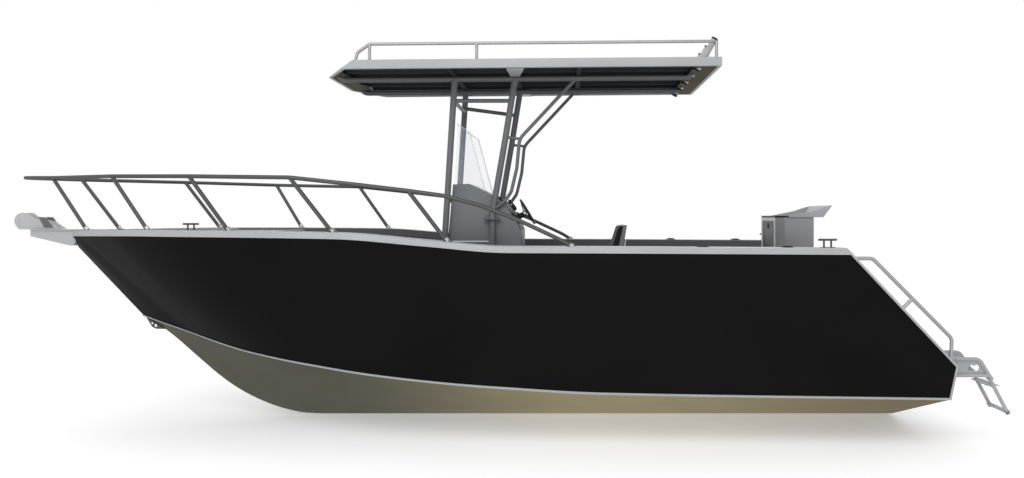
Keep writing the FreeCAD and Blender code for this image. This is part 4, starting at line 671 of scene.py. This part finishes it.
def makeHull(sizes=hullSizes):
    table = {name: np.array(value) for name, value in sizes.items()}
    shares, count = table["shares"], len(sizes["shares"])
    full = np.concatenate([shares, shares[::-1]])
    depth = np.repeat((0, sizes["sidePlate"]), count)

    def sideRow(t, rows):
        return sidePoint(t, full[rows]) + inwardAt(t) * depth[rows][:, None]

    def sideEnd(point):
        return np.maximum(behindTransom(point), aboveSlope(point))

    bothSides("topsideSkin", sweptRows(sideRow, 2 * count, sideEnd), "topside_paint", topsidePaint, ("topsides",),
              30.0, True)

    # From the keel at 0 to the chine at 1, and back along the inner face
    half = sizes["bottomRows"]
    across = np.linspace(0, 1, half)
    across = np.concatenate([across, across[::-1]])
    rise = np.repeat((0, sizes["bottomPlate"]), half)

    def bottomRow(t, rows):
        share = across[rows][:, None]
        point = keelLine(t) * (1 - share) + chineLine(t) * share
        point[:, 2] = np.minimum(point[:, 2] + rise[rows], chineLine(t)[:, 2])
        return point

    bothSides("bottomSkin", sweptRows(bottomRow, 2 * half, behindTransom), "bare_alloy", bareAlloy, ("hull_bottom",),
              14.0, True)

    def stripRow(t, rows):
        low = sidePoint(t, 0 * t)
        up = unit(sidePoint(t, 0 * t + shares[1]) - low)
        return low + up * table["stripUp"][rows][:, None] - inwardAt(t) * table["stripOut"][rows][:, None]

    strip = sweptRows(stripRow, len(sizes["stripUp"]), lambda point: behindTransom(point, -sizes["edging"]))
    bothSides("chineStrip", strip, "deck_paint", deckPaint, ("chine_strip",))

    # How much of the coaming's lip has grown at a station
    def lipAt(t):
        return sizes["lip"] * np.clip((t - sizes["lipFrom"]) * sizes["lipGrowth"], 0, 1)

    # The inner face of the coaming, along the lip's own line, dark grey with painted shade
    def facingRow(t, rows):
        point = sheerLine(t) + inwardAt(t) * (rimLine(t)[..., 0] + table["facingIn"][rows])[:, None]
        point[:, 2] += table["facingUp"][rows] - np.where(rows > 1, lipAt(t), 0)
        return point

    facing = sweptRows(facingRow, len(sizes["facingIn"]), lambda point: aboveSlope(point) + sizes["facingEnd"],
                       sizes["facingSteps"], sizes["lipFrom"])
    bothSides("coamingFacing", facing, "deck_lining", liningShadePaint)

    def gunwaleRow(t, rows):
        inward = table["gunwaleIn"][rows] + table["gunwaleRim"][rows] * rimLine(t)[..., 0]
        point = sheerLine(t) + inwardAt(t) * inward[:, None]
        rise = table["gunwaleUp"][rows]
        point[:, 2] += np.where(rise == rise.min(), -0.02 - lipAt(t), rise)
        return point

    rail = sweptRows(gunwaleRow, len(sizes["gunwaleIn"]), lambda point: aboveSlope(point) - sizes["edging"])
    bothSides("gunwaleSkin", rail, "deck_paint", deckPaint, ("gunwales",), 40.0)


makeHull()
print("hull made")


# A rigid plate's copy, with its flat facets joined and its sharp edges rounded.
def roundNode(name, width):
    mesh = nodes[name].data.copy()
    clean(mesh, flat=0.5)
    mesh.shade_smooth()
    piece = bpy.data.objects.new(name + "Rounded", mesh)
    roundEdges(rigged(piece, nodeFinish.get(name, deckPaint), bodyOf[name], (name,)), width)


for name, width in roundedNodes.items():
    roundNode(name, width)
print("plates rounded")


# Height above the keel line to metres in the row frame
def up(height):
    return height - draft


def sheerAt(x):
    return np.interp(x, hullTable[:, 4], hullTable[:, 5]), up(np.interp(x, hullTable[:, 4], hullTable[:, 6]))


# Bow rail: a flange and collar under each stanchion
railFeet = {
    "posts": ((-3.195, (-3.503, -0.240, 1.946)), (-2.505, (-2.806, -0.720, 1.940)),
              (-1.822, (-2.087, -1.075, 1.926)), (-1.034, (-1.331, -1.185, 1.913)),
              (-0.208, (-0.488, -1.193, 1.818))),
    "inset": 0.036, "flange": 0.031, "plate": 0.005, "collar": 0.0185, "collarLength": 0.03,
    "end": (0.672, -1.166, 1.098),
}


def makeRailFeet(sizes=railFeet):
    made = Build()
    for x, head in sizes["posts"]:
        half, top = sheerAt(x)
        foot = np.array((x, -half + sizes["inset"], top))
        lean = unit(np.array((head[0], head[1], up(head[2]))) - foot)
        radius, plate = sizes["flange"], sizes["plate"]
        made.turned(foot, (0, 0, 1), ((0.004, 0), (radius, 0), (radius, plate * 0.6), (radius * 0.8, plate),
                                      (0.004, plate)), 32)
        made.tube([foot + lean * 0.004, foot + lean * sizes["collarLength"]], sizes["collar"], 24)
    end = np.array(sizes["end"])
    made.tube([end - (0.012, 0, -0.004), end + (0.016, 0, -0.006)], 0.0185, 24)
    made.twin().piece("railFlanges", "steel", steel, edge=0.0008)


makeRailFeet()

# Steering wheel: rim, three swept spokes, hub and column
steeringWheel = {
    "foot": (0.221, 0.0, 1.619), "standoff": 0.107, "tilt": 31.0, "rim": 0.112, "grip": 0.0085, "hub": 0.026,
    "spokes": (90, 210, 330), "dish": 0.022,
}


def makeSteeringWheel(sizes=steeringWheel):
    tilt = math.radians(sizes["tilt"])
    axis = np.array((math.cos(tilt), 0.0, math.sin(tilt)))
    across = np.array((0.0, 1.0, 0.0))
    rise = np.cross(axis, across)
    foot = np.array((sizes["foot"][0], 0.0, up(sizes["foot"][2])))
    centre = foot + axis * sizes["standoff"]
    rim = Build().hoop(centre + circle(across, rise, 96) * sizes["rim"], sizes["grip"], axis, 16)
    rim.piece("wheelRim", "black_plastic", blackPlastic, "wheel", ("steering_wheel",))
    metal = Build()
    for degrees in sizes["spokes"]:
        turn = math.radians(degrees)
        out = across * math.cos(turn) + rise * math.sin(turn)
        path = [centre - axis * sizes["dish"] * (1 - share ** 1.6) + out * sizes["rim"] * share
                for share in np.linspace(0.05, 0.97, 12)]
        metal.tube(path, np.linspace(0.0085, 0.0055, 12), 12)
    low = centre - axis * sizes["dish"]
    metal.turned(low, axis, ((0.002, -0.012), (sizes["hub"], -0.012), (sizes["hub"], 0.004), (0.020, 0.010),
                             (0.002, 0.013)), 40)
    metal.piece("wheelSpokes", "black_plastic", steel, "wheel")
    column = Build()
    column.turned(low, axis, ((0.002, -0.010), (0.019, -0.010), (0.022, -0.030), (0.022, -0.070), (0.012, -0.074),
                              (0.012, -0.110), (0.002, -0.110)), 32)
    column.piece("wheelColumn", "black_plastic", blackPlastic, "wheel", edge=0.001)
    boot = Build()
    boot.turned(foot, axis, ((0.024, 0.0), (0.052, 0.0), (0.052, 0.006), (0.040, 0.016), (0.024, 0.018)), 40, False)
    boot.turned(foot, axis, ((0.024, 0.018), (0.024, 0.0)), 40, False)
    boot.piece("helmBoot", "black_plastic", blackPlastic)


makeSteeringWheel()

# Dash: a bent black panel on the console's aft face, with two blank screens, gauges and switches
dashPanel = {
    "face": ((0.062, 1.7917), (0.155, 1.727), (0.189, 1.672), (0.255, 1.561), (0.272, 1.5237)),
    "half": 0.365, "plate": 0.005, "screens": ((-0.185, 0.108, 0.046), (0.060, 0.108, 0.046)),
    "gauges": ((-0.30, 1.640), (-0.205, 1.640), (-0.11, 1.640)), "gaugeRadius": 0.034,
    "switches": (-0.30, -0.262, -0.224, -0.186, -0.148, -0.110), "switchHeight": 1.585,
}


def makeDash(sizes=dashPanel):
    face = np.array([(x, up(height)) for x, height in sizes["face"]])
    run = unit(np.diff(face, axis=0))
    out = np.stack([-run[:, 1], run[:, 0]], 1)
    mitre = np.vstack([out[:1], (out[:-1] + out[1:]) / (1 + (out[:-1] * out[1:]).sum(1))[:, None], out[-1:]])
    skin = np.concatenate([face, (face + mitre * sizes["plate"])[::-1]])
    panel = Build().prism(skin, 1, -sizes["half"], sizes["half"])
    panel.piece("dashPanel", "black_plastic", blackPlastic, angle=12.0, edge=0.0015)

    def onFace(cell, share, y, proud=0.0):
        spot = face[cell] + (face[cell + 1] - face[cell]) * share + out[cell] * (sizes["plate"] + proud)
        return (np.array((spot[0], y, spot[1])), np.array((run[cell][0], 0, run[cell][1])),
                np.array((out[cell][0], 0, out[cell][1])))

    frames, glass = Build(), Build()
    for y, wide, tall in sizes["screens"]:
        spot, down, outward = onFace(0, 0.46, y)
        frames.plate(spot, (0, 1, 0), down, (wide, tall), 0.008, 0.012, outward)
        glass.plate(spot + outward * 0.012, (0, 1, 0), down, (wide - 0.010, tall - 0.010), 0.003, 0.0015, outward)
    for y, height in sizes["gauges"]:
        share = (1.672 - height) / (1.672 - 1.561)
        spot, down, outward = onFace(2, share, y)
        radius = sizes["gaugeRadius"]
        frames.turned(spot, outward, ((radius * 0.86, 0.0), (radius, 0.0), (radius, 0.006), (radius * 0.86, 0.008)),
                      36, False)
        glass.turned(spot, outward, ((0.001, 0.004), (radius * 0.87, 0.004), (radius * 0.87, 0.0), (0.001, 0.0)), 36)
    rockers = Build()
    for y in sizes["switches"]:
        for side in (1, -1):
            share = (1.672 - sizes["switchHeight"]) / (1.672 - 1.561)
            spot, down, outward = onFace(2, share, side * y)
            rockers.plate(spot, (0, 1, 0), down, (0.010, 0.013), 0.002, 0.006, outward)
    frames.piece("dashBezels", "black_plastic", blackPlastic, edge=0.0015)
    glass.piece("dashScreens", "black_plastic", screenGlass)
    rockers.piece("dashSwitches", "black_plastic", rollerRubber, edge=0.001)


makeDash()

# Engine control: housing on the dash, side lever and grip
throttle = {"foot": (0.172, 0.215, 1.7007), "tilt": 31.0}


def makeThrottle(sizes=throttle):
    tilt = math.radians(sizes["tilt"])
    axis = np.array((math.cos(tilt), 0.0, math.sin(tilt)))
    foot = np.array((sizes["foot"][0], sizes["foot"][1], up(sizes["foot"][2])))
    base = Build().turned(foot, axis, ((0.001, -0.004), (0.040, -0.004), (0.040, 0.006), (0.030, 0.012),
                                       (0.027, 0.030), (0.020, 0.036), (0.001, 0.037)), 40)
    lever = foot + axis * 0.028
    top = foot + axis * 0.030 + np.array((-0.046, 0, 0.050))
    base.tube([lever, lever + (top - lever) * 0.5 + axis * 0.004, top], (0.010, 0.0075, 0.008), 16)
    base.tube([top + (0, y, 0) for y in (-0.030, -0.026, 0.0, 0.026, 0.030)],
              (0.008, 0.0125, 0.0135, 0.0125, 0.008), 20)
    base.piece("throttleLever", "black_plastic", blackPlastic, replaces=("throttle_control",), edge=0.0015)


makeThrottle()
print("helm made")

# Padded forms: a rounded box is remeshed, blown up as cloth and capped, and its channels are pressed in after
seatPad = {
    "low": (0.655, -0.270, 0.8445), "high": (1.036, 0.270, 0.924), "round": 0.030, "voxel": 0.006, "cap": 0.009,
    "channels": (-0.09, 0.09), "channelDepth": 0.006, "channelWidth": 0.009,
    "welt": 0.0035, "weltHeight": 0.916,
}
backPad = {
    "fore": ((0.985, 0.992), (1.066, 1.233)), "depth": (0.052, 0.030), "half": 0.262, "round": 0.014,
    "voxel": 0.005, "cap": 0.005, "channels": (-0.088, 0.088), "channelDepth": 0.004, "channelWidth": 0.008,
    "shellDepth": (0.101, 0.063), "shellGap": 0.004, "shellFore": (0.005, 0.006), "shellRim": 0.002,
    "shellSide": 0.006,
}


# A box of half sizes h whose surface is the inner box's nearest point plus the corner radius outward.
def roundedBox(half, radius, count=24):
    half = np.asarray(half, dtype=float)
    line = np.linspace(-1, 1, count)
    u, v = (grid.ravel() for grid in np.meshgrid(line, line, indexing="ij"))
    sides, faces = [], []
    cell = np.arange((count - 1) * (count - 1))
    corner = cell // (count - 1) * count + cell % (count - 1)
    quad = np.stack([corner, corner + 1, corner + count + 1, corner + count], 1)
    for axis in range(3):
        for sign in (-1.0, 1.0):
            face = np.zeros((count * count, 3))
            face[:, axis] = sign
            face[:, (axis + 1) % 3], face[:, (axis + 2) % 3] = u, v
            faces += (quad + len(sides) * count * count).tolist()
            sides.append(face)
    point = np.concatenate(sides) * half
    inner = np.clip(point, -(half - radius), half - radius)
    out = point - inner
    return inner + radius * unit(out), faces


def meshPoints(mesh):
    flat = np.empty(len(mesh.vertices) * 3)
    mesh.vertices.foreach_get("co", flat)
    return flat.reshape(-1, 3)


# Remesh, inflate with the underside held, and cap each point's move to the given length.
def inflate(name, points, faces, voxel, cap, held):
    mesh = bpy.data.meshes.new(name)
    mesh.from_pydata(points.tolist(), [], faces)
    clean(mesh, 1e-6)
    pad = bpy.data.objects.new(name, mesh)
    scene = bpy.context.scene
    scene.collection.objects.link(pad)
    remesh = pad.modifiers.new("voxels", "REMESH")
    remesh.mode = "VOXEL"
    remesh.voxel_size = voxel
    ready = bpy.data.meshes.new_from_object(pad.evaluated_get(bpy.context.evaluated_depsgraph_get()))
    pad.modifiers.clear()
    pad.data = ready
    before = meshPoints(ready)
    group = pad.vertex_groups.new(name="held")
    group.add(np.flatnonzero(held(before)).tolist(), 1.0, "REPLACE")
    cloth = pad.modifiers.new("cloth", "CLOTH")
    cloth.settings.use_pressure = True
    cloth.settings.uniform_pressure_force = 4.0
    cloth.settings.vertex_group_mass = "held"
    cloth.settings.effector_weights.gravity = 0.0
    cloth.point_cache.frame_end = 20
    for step in range(1, 21):
        scene.frame_set(step)
    puffed = meshPoints(pad.evaluated_get(bpy.context.evaluated_depsgraph_get()).to_mesh())
    move = puffed - before
    reach = np.linalg.norm(move, axis=1, keepdims=True)
    ready.vertices.foreach_set("co", (before + move * np.minimum(1, cap / np.maximum(reach, 1e-9))).ravel())
    pad.modifiers.clear()
    pad.vertex_groups.clear()
    scene.frame_set(1)
    ready.update()
    return pad


# A channel is a Gaussian dip across the pad, pressed in along the given direction.
def pressChannels(pad, places, width, depth, direction, where):
    points = meshPoints(pad.data)
    dip = sum(np.exp(-((points[:, 1] - place) / width) ** 2) for place in places) * depth * where(points)
    points += dip[:, None] * np.asarray(direction)
    pad.data.vertices.foreach_set("co", points.ravel())
    pad.data.update()


# One level of subdivision, the vinyl, and the place of the node that the pad stands for.
def finishPad(pad, node):
    pad.data.shade_smooth()
    soft = pad.modifiers.new("soft", "SUBSURF")
    soft.levels = soft.render_levels = 1
    rigged(pad, vinyl, "hull", (node,))


def makeSeatPad(sizes=seatPad):
    low, high = np.array(sizes["low"]), np.array(sizes["high"])
    points, faces = roundedBox((high - low) / 2, sizes["round"])
    pad = inflate("seatCushion", points + (low + high) / 2, faces, sizes["voxel"], sizes["cap"],
                  lambda point: point[:, 2] < low[2] + 0.004)
    pressChannels(pad, sizes["channels"], sizes["channelWidth"], sizes["channelDepth"], (0, 0, -1),
                  lambda point: np.clip((point[:, 2] - high[2] + 0.02) / 0.02, 0, 1))
    finishPad(pad, "helm_seat_cushion")
    # A welt round the upper edge: rays toward the middle find the pad's side at its height.
    tree = BVHTree.FromPolygons(meshPoints(pad.data).tolist(), [p.vertices[:] for p in pad.data.polygons])
    middle = (low + high) / 2
    loop = roundedLoop((high - low)[:2] / 2 - 0.002, sizes["round"], 10) + middle[:2]
    path = []
    for x, y in loop:
        inward = Vector((middle[0] - x, middle[1] - y, 0)).normalized()
        spot = tree.ray_cast(Vector((x, y, sizes["weltHeight"])) - inward * 0.06, inward)[0]
        path.append((spot.x, spot.y, spot.z) if spot else (x, y, sizes["weltHeight"]))
    welt = Build().hoop(path, sizes["welt"], (0, 0, 1), 10)
    welt.piece("seatWelt", "upholstery", vinyl)


def makeBackPad(sizes=backPad):
    (x0, z0), (x1, z1) = sizes["fore"]
    depth, half = np.array(sizes["depth"]), sizes["half"]

    # The front face leans aft evenly, and the pad gets thinner upward.
    def front(z):
        return x0 + (x1 - x0) * (z - z0) / (z1 - z0)

    points, faces = roundedBox((depth[0] / 2, half, (z1 - z0) / 2), sizes["round"])
    points[:, 2] += (z0 + z1) / 2
    share = (points[:, 2] - z0) / (z1 - z0)
    points[:, 0] = front(points[:, 2]) + (points[:, 0] / depth[0] + 0.5) * (depth[0] + (depth[1] - depth[0]) * share)
    pad = inflate("backCushion", points, faces, sizes["voxel"], sizes["cap"],
                  lambda point: point[:, 0] > front(point[:, 2]) + 0.9 * np.interp(point[:, 2], (z0, z1), depth))
    pressChannels(pad, sizes["channels"], sizes["channelWidth"], sizes["channelDepth"], (1, 0, 0),
                  lambda point: (point[:, 0] < front(point[:, 2]) + 0.02) * 1.0)
    finishPad(pad, "helm_seat_backrest")
    (low, high), (lowFar, highFar) = depth + sizes["shellGap"], sizes["shellDepth"]
    foot, head, rim = x0 - sizes["shellFore"][0], x1 - sizes["shellFore"][1], sizes["shellRim"]
    side = [(foot + low, z0 - rim), (foot + lowFar, z0 - rim), (head + highFar, z1 + rim), (head + high, z1 + rim)]
    shell = Build().prism(side, 1, -half - sizes["shellSide"], half + sizes["shellSide"])
    shell.piece("backShell", "seat_box", seatPaint, edge=0.006)


makeSeatPad()
makeBackPad()
print("seat made")

# Hinges lie on their joint's line, and each has one leaf on the moving panel and one beside it.
# A row is the body, a point on the line, the line, outward, the way to the panel, and the places along the line.
hinges = {
    "rows": (("helm_door", (-0.262, -0.4, 0.73), (0, 0, 1), (0, -1, 0), (1, 0, 0), (-0.20, 0.0, 0.20)),
             ("tackle_door", (2.31, 0.0, 0.82), (0, 1, 0), (-1, 0, 0), (0, 0, 1), (-0.14, 0.14)),
             ("anchor_lid", (-1.93, 0.0, 1.185), (0, 1, 0), (0, 0, 1), (-1, 0, 0), (-0.14, 0.14)),
             ("hatch_lid", (1.4, 0.0, 0.35), (0, 1, 0), (0, 0, 1), (1, 0, 0), (-0.15, 0.15)),
             ("gate", (2.64, -0.965, 0.72), (0, 0, 1), (1, 0, 0), (0, 1, 0), (-0.22, 0.22))),
    "length": 0.064, "radius": 0.005, "leaf": 0.030, "gap": 0.006, "plate": 0.0018,
}


def makeHinges(sizes=hinges):
    fixed = Build()
    half, leaf, gap, plate = sizes["length"] / 2, sizes["leaf"], sizes["gap"], sizes["plate"]
    for body, centre, line, outward, toward, places in sizes["rows"]:
        moving = Build()
        line, outward, toward = (np.array(v, dtype=float) for v in (line, outward, toward))
        for place in places:
            spot = np.array(centre) + line * place
            moving.tube([spot - line * half, spot + line * half], sizes["radius"], 16)
            moving.plate(spot + toward * (leaf + gap) / 2, toward, line, ((leaf - gap) / 2 + 0.002, half), 0.004,
                         plate, outward)
            fixed.plate(spot - toward * (leaf + gap * 2) / 2, toward, line, (leaf / 2 - 0.002, half), 0.004, plate,
                        outward)
        moving.piece(body.replace("_", "") + "Hinges", "steel", steel, body)
    fixed.piece("hingeLeaves", "steel", steel)


makeHinges()

# Slam latches: a round bezel with a folding pull. A row is the body, its centre, outward and the pull's direction.
latches = {
    "rows": (("helm_door", (-0.035, -0.4, 0.74), (0, -1, 0), (0, 0, 1)),
             ("tackle_door", (2.31, 0.0, 1.228), (-1, 0, 0), (0, 1, 0)),
             ("anchor_lid", (-2.285, 0.0, 1.185), (0, 0, 1), (0, 1, 0)),
             ("hatch_lid", (1.805, 0.0, 0.35), (0, 0, 1), (0, 1, 0)),
             ("gate", (2.64, -0.590, 0.95), (1, 0, 0), (0, 0, 1))),
    "radius": 0.024, "proud": 0.005, "pull": (0.016, 0.007),
}


def makeLatches(sizes=latches):
    radius, proud = sizes["radius"], sizes["proud"]
    for body, centre, outward, along in sizes["rows"]:
        finish = blackPlastic if body == "tackle_door" else steel
        outward, along = np.array(outward, dtype=float), np.array(along, dtype=float)
        made = Build().turned(centre, outward, ((0.001, 0.0), (radius, 0.0), (radius, proud * 0.5),
                                                (radius * 0.86, proud), (radius * 0.76, proud),
                                                (radius * 0.72, proud * 0.4), (0.001, proud * 0.4)), 36)
        made.plate(np.array(centre) + outward * proud * 0.4, along, np.cross(outward, along), sizes["pull"], 0.004,
                   proud * 0.8, outward)
        made.piece(body.replace("_", "") + "Latch", "steel", finish, body, angle=50.0)


makeLatches()
print("hinges and latches made")

# Trims: door surround, drip rails, leg flanges, roof gussets, board edging, and the rod holders' liners and caps.
# A profile is of (radius, distance along its axis).
trims = {
    "side": 0.4, "drip": (-0.262, 0.032, 1.103, 0.010, 0.006), "flange": (-0.012, 0.114, 1.281, 1.289, 0.478),
    "flangeBack": (0.004, 0.03), "surround": ((-0.127, -0.4, 0.73), (0.158, 0.303), 0.022, 0.003, 0.016),
    "gusset": ((0.188, -0.852), (0.320, -0.852), (0.2685, -0.462), (0.198, -0.462)),
    "gussetHeights": (2.4005, 2.4083),
    "edging": ((2.398, 0.3605), (2.370, 0.3605), (2.3095, 0.2805), (2.3095, -0.2805), (2.370, -0.3605),
               (2.398, -0.3605)), "edgingHeights": (1.2985, 1.3105), "edgingThick": 0.0025,
    "cabinetFrame": ((2.31, 0, 1.044), (0.2795, 0.2525), 0.012, 0.0016, (0.0485, 0.0285)),
    "holderTop": (1.7545, 2.6453), "holderFoot": (1.612, 2.3985), "holderRows": (-0.76, -0.38, 0.0, 0.38, 0.76),
    "liner": ((0.0195, -0.05), (0.0195, 0.002), (0.0235, 0.0035), (0.0265, 0.001), (0.0262, -0.008),
              (0.0243, -0.009), (0.0205, -0.05), (0.0195, -0.05)),
    "footCap": ((0.001, -0.003), (0.0235, -0.003), (0.0255, 0.0), (0.0255, 0.016), (0.0241, 0.016), (0.001, 0.004)),
    "capRows": (1.615, 2.224), "capAcross": 1.105, "capRise": 0.006,
    "cap": ((0.001, -0.004), (0.030, -0.004), (0.032, 0.0), (0.030, 0.004), (0.020, 0.0065), (0.001, 0.0075)),
}


def makeTrims(sizes=trims):
    plane = sizes["side"]
    fore, aft, height, tall, thick = sizes["drip"]
    drips = Build().block((fore, -plane - thick, height), (aft, -plane, height + tall))
    drips.twin().piece("dripRails", "deck_paint", palePaint, edge=0.0015)

    centre, half, corner, thick, width = sizes["surround"]
    surround = Build().plate(centre, (1, 0, 0), (0, 0, 1), half, corner, thick, (0, -1, 0), width)
    surround.piece("doorSurround", "console_paint", consolePaint, edge=0.001)

    fore, aft, low, high, reach = sizes["flange"]
    thick, past = sizes["flangeBack"]
    flanges = Build().block((fore, -reach, low), (aft, -plane, high))
    flanges.block((fore, -plane - thick, low - past), (aft, -plane, high + past))
    flanges.twin().piece("legFlanges", "frame_paint", framePaint, edge=0.0015)

    gussets = Build().prism(sizes["gusset"], 2, *sizes["gussetHeights"])
    gussets.twin().piece("roofGussets", "frame_paint", sparPaint, edge=0.0012)

    edging = Build().band(sizes["edging"], -sizes["edgingThick"], *sizes["edgingHeights"])
    edging.piece("boardEdging", "black_plastic", blackPlastic)

    centre, half, corner, thick, width = sizes["cabinetFrame"]
    rim = Build().plate(centre, (0, 1, 0), (0, 0, 1), half, corner, thick, (-1, 0, 0), width)
    rim.piece("cabinetFrame", "deck_paint", palePaint, edge=0.0006)

    liners = Build()
    lean = (0.5, 0.0, math.sqrt(0.75))
    for y in sizes["holderRows"]:
        (x, z), (footX, footZ) = sizes["holderTop"], sizes["holderFoot"]
        liners.turned((x, y, z), lean, sizes["liner"], 28, False)
        liners.turned((footX, y, footZ), lean, sizes["footCap"], 28)
    liners.piece("holderLiners", "black_plastic", blackPlastic)

    caps = Build()
    for x in sizes["capRows"]:
        caps.turned((x, -sizes["capAcross"], sheerAt(x)[1] + sizes["capRise"]), (0, 0, 1), sizes["cap"], 32)
    caps.twin().piece("holderCaps", "black_plastic", rollerRubber)


makeTrims()

# Bow fittings: guide plates on the roller's cheeks, and grip pads on the foredeck
bowFittings = {
    "guide": ((-3.716, 1.300), (-3.656, 1.298), (-3.592, 1.214), (-3.668, 1.214)), "cheek": (0.0588, 0.0612),
    "pad": ((-1.82, 0.27), (-1.82, 0.86), (-2.20, 0.79), (-2.62, 0.62), (-2.86, 0.44), (-2.86, 0.27)),
    "padHeights": (1.1848, 1.1872),
}


def makeBowFittings(sizes=bowFittings):
    guides = Build().prism(sizes["guide"], 1, *sizes["cheek"])
    guides.twin().piece("rollerGuides", "frame_paint", liningShadePaint, edge=0.0006)
    pads = Build().prism(sizes["pad"], 2, *sizes["padHeights"])
    pads.twin().piece("foredeckPads", "deck_lining", deckLining, edge=0.0008)


makeBowFittings()

# Frosted edging along the clear sheet's side edges
screenEdge = {"line": ((-0.227, 2.043), (-0.124, 1.975), (0.002, 1.4973)), "across": (0.3885, 0.3955), "wide": 0.012}
edging = Build().band(screenEdge["line"], -screenEdge["wide"], *screenEdge["across"], axis=1)
edging.twin().piece("screenEdging", "clear_panel", edgeTrim)

# Ladder fittings: pivot bolts on the bracket, and a plain foot on each stile
ladder = {"pin": (3.737, 0.124), "run": (0.466, -0.885), "length": 0.300, "stiles": (-0.950, -0.650),
          "bolts": (-0.9985, -0.6015)}


def makeLadderFittings(sizes=ladder):
    run = np.array((sizes["run"][0], 0.0, sizes["run"][1]))
    pin = np.array((sizes["pin"][0], 0.0, sizes["pin"][1]))
    feet = Build()
    for y in sizes["stiles"]:
        foot = pin + run * (sizes["length"] - 0.022) + (0, y, 0)
        feet.turned(foot, run, ((0.0141, 0.0), (0.0160, 0.0), (0.0165, 0.020), (0.0130, 0.0255), (0.001, 0.0265)),
                    28, False)
    feet.piece("ladderFeet", "deck_paint", seatPaint, "ladder")
    bolts = Build()
    for y in sizes["bolts"]:
        side = -1.0 if y < -0.8 else 1.0
        bolts.turned(pin + (0, y, 0), (0, side, 0), ((0.001, -0.004), (0.014, -0.004), (0.014, 0.001), (0.009, 0.001),
                                                     (0.009, 0.006), (0.007, 0.0075), (0.001, 0.0075)), 24)
    bolts.piece("ladderBolts", "steel", steel)


makeLadderFittings()
print("trims made")
